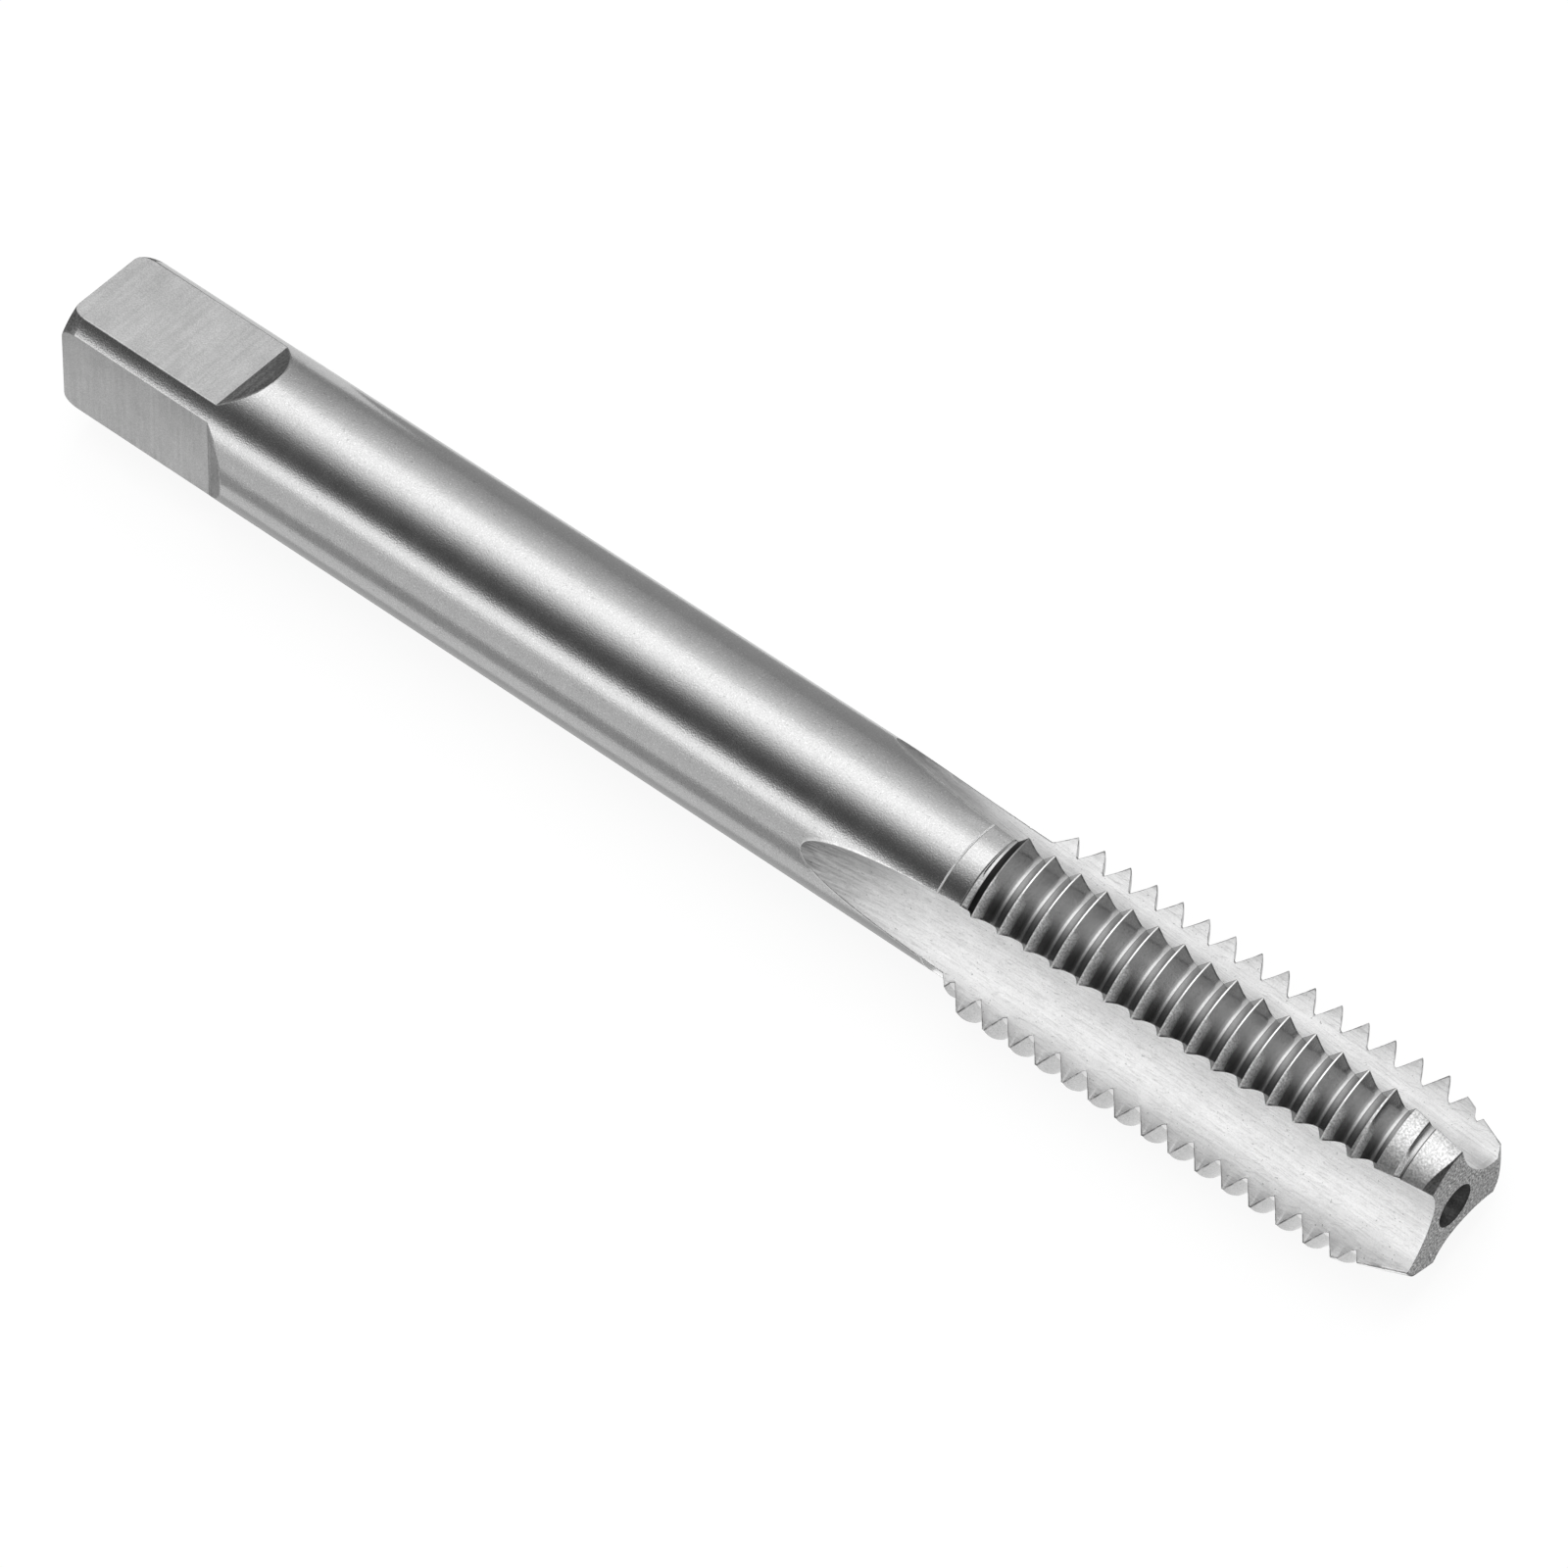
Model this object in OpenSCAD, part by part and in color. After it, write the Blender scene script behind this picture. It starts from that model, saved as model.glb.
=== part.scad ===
// Thread tap with three straight flutes, for cutting a right-hand metric thread.
// One ground piece: drive square, plain shank, neck, threaded cutting part, tapered lead.
// The axis runs along X, from the square end at -X to the cutting end at +X.
// The part lies as it comes to rest: two lands down and level, one flute between them.

/* [Body] */
// Length over all
total_length = 80; // [70:1:110]
// Diameter of the plain shank
shank_diameter = 8; // [7.2:0.1:8.4]
// Length along the axis of the 45 degree chamfer at the square end
end_chamfer = 0.5; // [0.2:0.1:0.8]
// Turn about the axis that brings the two lower lands level
rest_turn = -3; // [-10:0.5:10]

/* [Drive square] */
// Size across the flats
square_across_flats = 6.3; // [5.6:0.1:6.8]
// Length of the flats, without their sloped run-out
square_length = 9.2; // [7:0.1:12]
// Angle between the sloped run-out of a flat and the axis
square_shoulder_angle = 29; // [20:1:60]
// Turn of the square against the lands
square_turn = -16.4; // [-45:0.1:45]

/* [Thread] */
// Diameter over the thread crests
thread_diameter = 10.06; // [9.9:0.02:10.2]
// Diameter at the thread roots
root_diameter = 8.08; // [8.06:0.02:8.2]
// Distance from one thread to the next
pitch = 1.5; // [1.25:0.25:1.5]
// Angle between the two flanks of a thread groove
flank_angle = 60; // [55:1:60]
// Width of the flat on each thread crest
crest_flat = 0.2; // [0.15:0.01:0.3]
// Place along the axis, from the square end, where the shank rises to the thread
thread_start = 54.2; // [50:0.1:58]
// Angle between that rise and the axis
thread_start_angle = 50; // [40:1:60]
// Place along the axis of one thread crest, at the middle of the upper land
crest_place = 55.18; // [54.5:0.01:56]

/* [Lead] */
// Length of the tapered lead at the cutting end
lead_length = 3.75; // [2:0.05:10]
// Diameter of the lead at the end face
lead_end_diameter = 7.3; // [6.4:0.1:7.8]
// Length along the axis of the small steep chamfer on the end face's rim
rim_chamfer = 0.15; // [0.05:0.05:0.4]

/* [Flutes] */
// Number of flutes, and of lands between them
flute_count = 3; // [3:1:4]
// Distance from the axis to the flute's bottom at the cutting end
core_radius = 1.85; // [1.6:0.05:2.2]
// Rise of the flute's bottom towards the shank, in degrees
core_taper = 2.2; // [0:0.1:3]
// Radius of the flute's hollow on the cutting side
cutting_side_radius = 2.2; // [1.8:0.1:2.6]
// Angle of the straight cutting face above that hollow, against the flute's middle
cutting_face_angle = 16.5; // [5:0.5:25]
// Radius of the flute's hollow on the heel side
heel_side_radius = 5.3; // [4.7:0.1:7]
// Shift of the flute's bottom towards the cutting side
flute_offset = 0.45; // [0:0.05:0.6]
// Place along the axis, from the square end, where the flute's run-out begins
run_out_place = 55.7; // [53:0.1:60]
// Radius of the wheel that ground the flute, which shapes the run-out
wheel_radius = 60; // [30:1:80]

/* [Neck and centres] */
// Place along the axis of the fine line scribed round the neck
scribed_line_place = 52.95; // [50:0.05:54]
// Width of that line
scribed_line_width = 0.1; // [0.06:0.01:0.2]
// Diameter of the centre holes' mouths
centre_mouth_diameter = 2.25; // [1.8:0.05:2.6]
// Diameter of the centre holes' pilot bores
centre_pilot_diameter = 1.1; // [0.8:0.05:1.4]
// Depth of the pilot bores from the end faces
centre_depth = 2.2; // [1.6:0.1:3]

/* [Hidden] */
$fn = 96;

shank_radius = shank_diameter / 2;
crest_radius = thread_diameter / 2;
root_radius = root_diameter / 2;
lead_end_radius = lead_end_diameter / 2;
thread_full = thread_start + (crest_radius - shank_radius) / tan(thread_start_angle);
lead_start = total_length - lead_length;
lead_slope = (crest_radius - lead_end_radius) / lead_length;
land_pitch = 360 / flute_count;

// Half the width that a groove gains for each millimetre of depth
flank_slope = tan(flank_angle / 2);
// How far the groove cutter reaches outside the crests
groove_overshoot = 0.07;
groove_crest_half = (pitch - crest_flat) / 2;
groove_top_radius = crest_radius + groove_overshoot;
groove_top_half = groove_crest_half + groove_overshoot * flank_slope;
groove_root_half = groove_crest_half - (crest_radius - root_radius) * flank_slope;
// A groove is cut across each land in short straight steps
groove_reach = 39;
groove_steps = 8;
first_groove_place = crest_place - pitch / 2;
last_groove_place = lead_start + (crest_radius - root_radius) / lead_slope;
groove_count = floor((last_groove_place - first_groove_place) / pitch);

// The flute is shaped in the plane across its own bottom line
flute_height = 4.6;
flute_width = 4.9;
run_out_turn = 14;
run_out_overlap = 1;
bottom_at_run_out = core_radius + (total_length - run_out_place) * tan(core_taper);
flute_length = (total_length - run_out_place) + 8;

square_overshoot = 1;
shoulder_reach = shank_radius - square_across_flats / 2 + square_overshoot;

// The axis stands this high, so that the lowest crest touches the ground
lowest_crest_angle = 33.5;
axis_height = crest_radius * cos(lowest_crest_angle);

// Outline of the turned blank, as distances along the axis and from it
module blank_outline() {
    polygon([
        [0, 0],
        [shank_radius - end_chamfer, 0],
        [shank_radius, end_chamfer],
        [shank_radius, scribed_line_place - scribed_line_width / 2],
        [shank_radius - scribed_line_width / 2, scribed_line_place],
        [shank_radius, scribed_line_place + scribed_line_width / 2],
        [shank_radius, thread_start],
        [crest_radius, thread_full],
        [crest_radius, lead_start],
        [lead_end_radius + rim_chamfer * lead_slope, total_length - rim_chamfer],
        [lead_end_radius - 1.5 * rim_chamfer, total_length],
        [0, total_length]
    ]);
}

module blank() {
    rotate([0, 90, 0])
        rotate_extrude()
            blank_outline();
}

// Corners of a groove's section after a turn about the axis, in the order root, root, top, top
function groove_section(turn, place) = [
    for (corner = [
        [-groove_root_half, root_radius],
        [groove_root_half, root_radius],
        [groove_top_half, groove_top_radius],
        [-groove_top_half, groove_top_radius]
    ])
        [place + pitch * turn / 360 + corner[0], corner[1] * cos(turn), corner[1] * sin(turn)]
];

// One turn's groove across one land: a short piece of a right-hand helix
module groove(land_turn, place) {
    turns = [for (step = [0:groove_steps]) land_turn + groove_reach * (2 * step / groove_steps - 1)];
    corners = [for (turn = turns) each groove_section(turn, place)];
    sides = [
        for (step = [0:groove_steps - 1], side = [0:3])
            let (a = 4 * step + side, b = 4 * step + (side + 1) % 4)
                each [[a, b + 4, b], [a, a + 4, b + 4]]
    ];
    last = 4 * groove_steps;
    ends = [[0, 1, 2, 3], [last + 3, last + 2, last + 1, last]];
    polyhedron(points = corners, faces = concat(sides, ends), convexity = 4);
}

// All thread grooves, counted from the shank end, land by land
module thread_grooves() {
    for (land = [0:flute_count - 1], count = [-1:groove_count])
        groove(land * land_pitch, first_groove_place + count * pitch);
}

// Section of a flute: across it in X, up from its bottom in Y, with the cutting side at +X
module flute_section() {
    wall_start = [
        cutting_side_radius * cos(cutting_face_angle),
        cutting_side_radius * (1 - sin(cutting_face_angle))
    ];
    wall_end = wall_start[0] + (flute_height - wall_start[1]) * tan(cutting_face_angle);
    translate([flute_offset, 0]) {
        intersection() {
            translate([0, cutting_side_radius])
                circle(r = cutting_side_radius);
            square([cutting_side_radius, flute_height]);
        }
        polygon([
            [0, cutting_side_radius],
            wall_start,
            [wall_end, flute_height],
            [0, flute_height]
        ]);
        intersection() {
            translate([0, heel_side_radius])
                circle(r = heel_side_radius);
            translate([-flute_width, 0])
                square([flute_width, flute_height]);
        }
    }
}

// A flute is a straight, slightly rising hollow that ends in an arc of the wheel's radius
module flute() {
    translate([run_out_place, 0, bottom_at_run_out])
        rotate([0, core_taper, 0]) {
            rotate([90, 0, 90])
                linear_extrude(flute_length)
                    flute_section();
            translate([0, 0, wheel_radius])
                rotate([-90, 0, 0])
                    rotate([0, 0, 90 - run_out_overlap])
                        rotate_extrude(angle = run_out_turn + run_out_overlap, $fn = 360)
                            translate([wheel_radius, 0])
                                rotate(90)
                                    flute_section();
        }
}

module flutes() {
    for (count = [0:flute_count - 1])
        rotate([land_pitch * (count + 0.5), 0, 0])
            flute();
}

// Four flats, each with a sloped run-out into the shank
module drive_square() {
    side = shank_diameter + 2;
    flat_height = square_across_flats / 2;
    for (flat = [0:3])
        rotate([square_turn + 90 * flat, 0, 0])
            rotate([90, 0, 0])
                translate([0, 0, -side / 2])
                    linear_extrude(side)
                        polygon([
                            [-square_overshoot, flat_height],
                            [square_length, flat_height],
                            [
                                square_length + shoulder_reach / tan(square_shoulder_angle),
                                flat_height + shoulder_reach
                            ],
                            [-square_overshoot, flat_height + shoulder_reach]
                        ]);
}

// Centre hole seen from its mouth: a 60 degree countersink over a pilot bore with a drilled point
module centre_hole() {
    mouth = centre_mouth_diameter / 2;
    pilot = centre_pilot_diameter / 2;
    cone_depth = (mouth - pilot) / tan(30);
    point_depth = centre_depth + pilot / tan(59);
    rotate([0, 90, 0])
        rotate_extrude()
            polygon([
                [0, -0.5],
                [mouth + 0.5 * tan(30), -0.5],
                [pilot, cone_depth],
                [pilot, centre_depth],
                [0, point_depth]
            ]);
}

module centre_holes() {
    centre_hole();
    translate([total_length, 0, 0])
        rotate([0, 0, 180])
            centre_hole();
}

// The whole tap, worked out of the blank with its axis on X and a land at the top
module ground_tap() {
    difference() {
        blank();
        flutes();
        rotate([90, 0, 0])
            thread_grooves();
        drive_square();
        centre_holes();
    }
}

module tap() {
    color("silver")
        translate([-total_length / 2, 0, axis_height])
            rotate([rest_turn, 0, 0])
                ground_tap();
}

tap();
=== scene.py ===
"""Straight-flute thread tap: the ground steel surface, its finishes, a plain studio and the camera.

The whole tap is one closed net of quads, laid from one centre hole to the other. Its rows follow
the blank's outline and the thread's helix, and its columns follow the flats and the flutes. Sizes
are in millimetres and degrees up to the net's points, and in metres after that.
"""

import enum
import logging
import math
from dataclasses import dataclass, field

import bmesh
import bpy
import numpy as np
from mathutils import Matrix, Vector


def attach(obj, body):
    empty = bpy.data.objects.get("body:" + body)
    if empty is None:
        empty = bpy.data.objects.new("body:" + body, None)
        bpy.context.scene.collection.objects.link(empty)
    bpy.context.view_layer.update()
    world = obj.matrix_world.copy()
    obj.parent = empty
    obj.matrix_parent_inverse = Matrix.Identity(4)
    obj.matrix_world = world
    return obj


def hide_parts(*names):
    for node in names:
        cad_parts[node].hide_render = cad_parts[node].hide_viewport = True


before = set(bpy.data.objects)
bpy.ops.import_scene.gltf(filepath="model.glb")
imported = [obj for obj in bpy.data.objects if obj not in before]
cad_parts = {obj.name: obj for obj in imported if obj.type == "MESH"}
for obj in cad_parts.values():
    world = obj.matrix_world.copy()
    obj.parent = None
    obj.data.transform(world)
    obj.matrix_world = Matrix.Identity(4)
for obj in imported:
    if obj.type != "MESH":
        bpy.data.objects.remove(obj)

LOG = logging.getLogger("thread_tap")

# A millimetre in metres, and a length in millimetres that is too small to matter.
MM = 0.001
HAIR = 1e-6

# The turns, in degrees, after which the lands and the flats repeat.
FLUTES = 3
LAND_TURN = 360.0 / FLUTES
FLAT_TURN = 90.0

# The net's rows past the shoulder and before the run-out's tip, closer together towards both.
PAST_SHOULDER = (0.05, 0.15, 0.35, 0.7, 1.2, 2.0, 3.2, 4.8)
BEFORE_RUN_OUT = (6.4, 5.0, 3.8, 2.7, 1.8, 1.1, 0.6, 0.3, 0.12, 0.04)

# The columns on each tooth face, at both sides of a flute.
FACE_COLUMNS = 4

# Points nearer together than this are welded, and shorter edges are taken out, in metres.
WELD_REACH = 2e-7
LEAST_EDGE = 1e-8

Node = bpy.types.Node
Socket = bpy.types.NodeSocket


def smooth(amount: np.ndarray) -> np.ndarray:
    """Ease from 0 to 1 by the cubic 3a^2 - 2a^3, held at both ends."""
    held = np.clip(amount, 0.0, 1.0)
    return held * held * (3.0 - 2.0 * held)


def between(start: np.ndarray, end: np.ndarray, amount: np.ndarray) -> np.ndarray:
    """Straight mix: start plus the amount's share of the way to end."""
    return start + (end - start) * amount


def from_nearest(turn: np.ndarray, step: float) -> np.ndarray:
    """Turn from the nearest whole number of steps, at most half a step either way."""
    return (np.asarray(turn) + step / 2) % step - step / 2


def grey(tone: float) -> tuple[float, float, float, float]:
    """Give a grey as red, green, blue and opacity."""
    return (tone, tone, tone, 1.0)


def place_object(name: str, data: bpy.types.ID) -> bpy.types.Object:
    """Make an object of a mesh, lamp or camera, and put it into the scene.

    Args:
        name: the object's name.
        data: what the object shows.

    Returns:
        The object, at the origin.
    """
    made = bpy.data.objects.new(name, data)
    bpy.context.scene.collection.objects.link(made)
    return made


def spread_with_edges(first: float, last: float, count: int, near: float) -> np.ndarray:
    """Spread values evenly in one row, with one more close beside each end.

    Args:
        first: the value at one end.
        last: the value at the other.
        count: how many values there are.
        near: how far the second value is from the first.

    Returns:
        The values, as one row.
    """
    inner = np.linspace(first, last, count - 2)[1:-1]
    return np.concatenate([[first, first + near], inner, [last - near, last]])[None, :]


class Region(enum.Enum):
    """Each ground, milled or turned region of the tap, with its own finish."""

    SHANK = 0
    FLAT = 1
    SHOULDER = 2
    RIM = 3
    FLUTE = 4
    FLANK = 5
    ROOT = 6
    CREST = 7
    LEAD = 8
    END_FACE = 9
    # The centre holes, whose finish is painted near black as the shade in the recess.
    CENTRE = 10
    SCRIBED = 11
    # The first groove's rising flank, whose finish is painted near black as shade.
    FIRST_FLANK = 12


class Side(enum.IntEnum):
    """The two sides of a flute: the one that cuts and the one that trails."""

    CUTTING = 1
    HEEL = -1


class ToothRow(enum.IntEnum):
    """Rows of the net along one thread groove and the crest after it.

    ENTRY rows lie between the rise from the shank and the first groove, and EXIT rows between the
    last groove and the tip's chamfer.
    """

    CREST_LAST = 0
    CREST_END = 1
    FALL_FIRST = 2
    FALL_UPPER = 3
    FALL_LOWER = 4
    FALL_LAST = 5
    ROOT_UPPER = 6
    ROOT_LOWER = 7
    ROOT_LAST = 8
    ROOT_END = 9
    RISE_FIRST = 10
    RISE_LOWER = 11
    RISE_UPPER = 12
    RISE_LAST = 13
    CREST_START = 14
    CREST_FIRST = 15
    CREST_MIDDLE = 16
    ENTRY = 17
    EXIT = 18


@dataclass(frozen=True)
class Blank:
    """The turned blank: shank, rise to the thread, thread diameter, lead and rims.

    Attributes:
        total_length: length from the square end to the tip.
        shank_radius: radius of the plain shank.
        end_chamfer: length of the rounded chamfer at the square end.
        end_drop: its depth.
        crest_radius: radius over the thread's crests.
        thread_start: place where the rise from the shank begins.
        thread_start_angle: slope of that rise.
        lead_length: length of the lead's taper.
        lead_end_radius: radius of the lead at the tip.
        rim_least: width of the tip's chamfer away from the cutting corners.
        rim_growth: what the cutting corners add to it.
        rim_slope: depth of the tip's chamfer for each millimetre of its width.
        line_place: place of the scribed line round the neck.
        line_width: width of that line, which is half as deep.
        rest_turn: turn of the upper land's middle from straight up, as the tap lies.
        lowest_crest_angle: turn from straight down to the crests that touch the ground.
    """

    total_length: float = 80.0
    shank_radius: float = 4.0
    end_chamfer: float = 0.8
    end_drop: float = 0.3
    crest_radius: float = 5.03
    thread_start: float = 54.2
    thread_start_angle: float = 50.0
    lead_length: float = 3.75
    lead_end_radius: float = 3.65
    rim_least: float = 0.05
    rim_growth: float = 0.3
    rim_slope: float = 1.5
    line_place: float = 52.95
    line_width: float = 0.1
    rest_turn: float = -3.0
    lowest_crest_angle: float = 33.5

    @property
    def rise_slope(self) -> float:
        """Slope of the rise from the shank to the thread."""
        return math.tan(math.radians(self.thread_start_angle))

    @property
    def thread_full(self) -> float:
        """Place where the rise reaches the crests."""
        return self.thread_start + (self.crest_radius - self.shank_radius) / self.rise_slope

    @property
    def lead_start(self) -> float:
        """Place where the lead's taper begins."""
        return self.total_length - self.lead_length

    @property
    def lead_slope(self) -> float:
        """Slope of the lead's taper."""
        return (self.crest_radius - self.lead_end_radius) / self.lead_length

    @property
    def axis_height(self) -> float:
        """Height of the axis, at which the lowest crests touch the ground."""
        return self.crest_radius * math.cos(math.radians(self.lowest_crest_angle))

    @property
    def end_rows(self) -> tuple[float, ...]:
        """Places of the rows down the rounded chamfer at the square end, closer towards the end."""
        return (0.0, 0.02, 0.07, 0.14, 0.25, 0.4, 0.6, self.end_chamfer)

    def rim(self, turn: np.ndarray) -> np.ndarray:
        """Width of the tip's chamfer, growing from 12 degrees before a land's middle to 22 past."""
        away = from_nearest(turn, LAND_TURN)
        return self.rim_least + self.rim_growth * smooth((away + 12.0) / 34.0)

    def rounded(self, place: float) -> float:
        """Radius down the rounded chamfer: a quarter of an ellipse, lowest at the end face."""
        left = 1.0 - place / self.end_chamfer
        return self.shank_radius - self.end_drop * (1.0 - math.sqrt(max(1.0 - left**2, 0.0)))

    def radius(self, place: np.ndarray, turn: np.ndarray) -> np.ndarray:
        """Straight lines between the outline's corners, less the tip's chamfer at that turn.

        Args:
            place: millimetres from the square end.
            turn: degrees from the upper land's middle.

        Returns:
            Millimetres from the axis.
        """
        half = self.line_width / 2
        corners = [
            *((where, self.rounded(where)) for where in self.end_rows),
            (self.line_place - half, self.shank_radius),
            (self.line_place, self.shank_radius - half),
            (self.line_place + half, self.shank_radius),
            (self.thread_start, self.shank_radius),
            (self.thread_full, self.crest_radius),
            (self.lead_start, self.crest_radius),
            (self.total_length, self.lead_end_radius),
        ]
        past_rim = np.maximum(place - self.total_length + self.rim(turn), 0.0)
        return np.interp(place, *zip(*corners)) - self.rim_slope * past_rim

    def to_world(self, place: np.ndarray, turn: np.ndarray, radius: np.ndarray) -> np.ndarray:
        """Change places along the axis, turns about it and radii into points.

        Args:
            place: millimetres from the square end.
            turn: degrees about the axis from the middle of the upper land.
            radius: millimetres from the axis.

        Returns:
            Points in metres, the last dimension being X, Y, Z: X is the place less half the length,
            Y and Z are the radius times the cosine and sine of the turn plus 90 degrees and the
            rest turn, with the axis height added to Z.
        """
        angle = np.radians(90.0 + self.rest_turn + turn)
        x, y = place - self.total_length / 2, radius * np.cos(angle)
        return MM * np.stack([x, y, radius * np.sin(angle) + self.axis_height], axis=-1)


@dataclass(frozen=True)
class Square:
    """Four flats on the shank's end, each with a sloped shoulder.

    Attributes:
        blank: what the flats are milled on.
        half_across: half the distance between opposite flats.
        length: length of the level part of a flat.
        shoulder_angle: slope of the shoulder.
        turn: turn of one flat's middle from the upper land's.
    """

    blank: Blank
    half_across: float = 3.15
    length: float = 9.2
    shoulder_angle: float = 29.0
    turn: float = -16.4

    @property
    def shoulder_end(self) -> float:
        """Place where the shoulder's slope comes out through the shank."""
        rise = self.blank.shank_radius - self.half_across
        return self.length + rise / math.tan(math.radians(self.shoulder_angle))

    def height(self, place: np.ndarray) -> np.ndarray:
        """Height of a flat over the axis: level, then rising with the shoulder's slope."""
        slope = math.tan(math.radians(self.shoulder_angle))
        return self.half_across + np.maximum(place - self.length, 0.0) * slope

    def edge_turn(self, place: np.ndarray) -> np.ndarray:
        """Half the angle of a flat: the arc cosine of its height over the blank's radius."""
        share = self.height(place) / self.blank.radius(place, 0.0)
        return np.degrees(np.arccos(np.clip(share, -1.0, 1.0)))

    def from_middle(self, turn: np.ndarray) -> np.ndarray:
        """Turn from the nearest flat's middle."""
        return from_nearest(turn - self.turn, FLAT_TURN)


@dataclass(frozen=True)
class ThreadForm:
    """The right-hand thread's grooves, cut into the blank.

    A groove falls from a crest in a straight flank, curves into its root and rises in a second
    straight flank from its foot, the sharp line at the root's far side.

    Attributes:
        blank: what the grooves are cut into.
        root_radius: radius at the grooves' feet.
        pitch: distance from one groove to the next.
        crest_place: place of the first crest's middle at the upper land's middle.
        crest_flat: width of a crest.
        rise_width: width of a rising flank.
        fall_steepness: radius that a falling flank loses for each millimetre.
        groove_count: how many grooves there are.
        worn_drop: how far a crest's corner is worn down beside a cutting corner.
        worn_reach: how far from the crest's end the wear goes.
    """

    blank: Blank
    root_radius: float = 4.04
    pitch: float = 1.5
    crest_place: float = 55.29
    crest_flat: float = 0.08
    rise_width: float = 0.715
    fall_steepness: float = 1.85
    groove_count: int = 17
    worn_drop: float = 0.05
    worn_reach: float = 0.09

    @property
    def depth(self) -> float:
        """Depth of a groove under the crests."""
        return self.blank.crest_radius - self.root_radius

    @property
    def rise_steepness(self) -> float:
        """Radius that the rising flank gains for each millimetre along the axis."""
        return self.depth / self.rise_width

    @property
    def root_width(self) -> float:
        """Width from a straight falling flank's own foot to the groove's foot."""
        return self.pitch - self.crest_flat - self.rise_width - self.depth / self.fall_steepness

    @property
    def root_curve(self) -> float:
        """Width of the root's curve, a parabola that touches the falling flank at its start."""
        return 2.0 * self.root_width

    @staticmethod
    def near_cut(turn: np.ndarray) -> np.ndarray:
        """Nearness to a land's cutting corner: 0 up to 2 degrees past its middle, 1 from 11 on."""
        return smooth((from_nearest(turn, LAND_TURN) - 2.0) / 9.0)

    def foot(self, groove: np.ndarray, turn: np.ndarray) -> np.ndarray:
        """Place of a groove's foot: the first one, plus whole pitches, plus the helix's share."""
        first = self.crest_place - self.crest_flat / 2 - self.rise_width
        return first + self.pitch * (groove + turn / 360.0)

    def radius(self, place: np.ndarray, turn: np.ndarray) -> np.ndarray:
        """Radius of the threaded blank: the lesser of the blank's and the nearest groove's.

        After the foot a groove rises in a straight line. Before it, the root gains radius with the
        square of the distance, up to the root curve's width, and then in a straight line.

        Args:
            place: millimetres from the square end.
            turn: degrees from the upper land's middle.

        Returns:
            Millimetres from the axis.
        """
        wrap = self.pitch - self.rise_width - self.crest_flat / 2
        after = (place - self.foot(np.zeros(1), turn) + wrap) % self.pitch - wrap
        before = np.maximum(-after, 0.0)
        curve = self.fall_steepness / (2.0 * self.root_curve) * before**2
        straight = self.fall_steepness * (before - self.root_width)
        falling = np.where(before < self.root_curve, curve, straight)
        rising = self.rise_steepness * after
        groove = self.root_radius + np.where(after < 0, falling, rising)
        return np.minimum(self.blank.radius(place, turn), groove)

    def worn(self, past_end: np.ndarray, turn: np.ndarray) -> np.ndarray:
        """Drop of a crest's worn corner, greatest at its end and gone at the worn reach.

        Args:
            past_end: millimetres from the crest's end, positive towards the tip.
            turn: degrees from the upper land's middle.

        Returns:
            Millimetres under the sharp crest: the greatest drop times the square of what is left of
            the reach, and times the nearness to the cutting corner.
        """
        left = np.clip(1.0 - np.abs(past_end) / self.worn_reach, 0.0, 1.0)
        return self.worn_drop * left**2 * self.near_cut(turn)

    def crest_end(self, foot: np.ndarray) -> np.ndarray:
        """Find where a crest ends and a groove's falling flank starts.

        The flank or its curve meets each of the blank's three lines, the rise, the crest line and
        the lead, and the furthest of those places holds, but not past the foot.

        Args:
            foot: place of the groove's foot.

        Returns:
            Place of the crest's end.
        """
        bend = self.fall_steepness / (2.0 * self.root_curve)
        places = []
        for level, slope in self._lines():
            over = level + slope * foot - self.root_radius
            straight = over + self.fall_steepness * self.root_width
            straight = straight / (self.fall_steepness + slope)
            part = np.sqrt(np.maximum(slope**2 + 4.0 * bend * over, 0.0))
            curved = np.maximum((part - slope) / (2.0 * bend), 0.0)
            places.append(foot - np.where(straight > self.root_curve, straight, curved))
        return np.minimum(np.max(places, axis=0), foot)

    def crest_start(self, foot: np.ndarray) -> np.ndarray:
        """Place where a groove's rising flank first meets one of the blank's lines."""
        meetings = [(level - self.root_radius + self.rise_steepness * foot)
                    / (self.rise_steepness - slope) for level, slope in self._lines()]
        return np.maximum(np.min(meetings, axis=0), foot)

    def _lines(self) -> list[tuple[float, float]]:
        """The blank's rise, crest line and lead, each as its level at place 0 and its slope."""
        blank = self.blank
        return [
            (blank.shank_radius - blank.rise_slope * blank.thread_start, blank.rise_slope),
            (blank.crest_radius, 0.0),
            (blank.crest_radius + blank.lead_slope * blank.lead_start, -blank.lead_slope),
        ]


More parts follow.
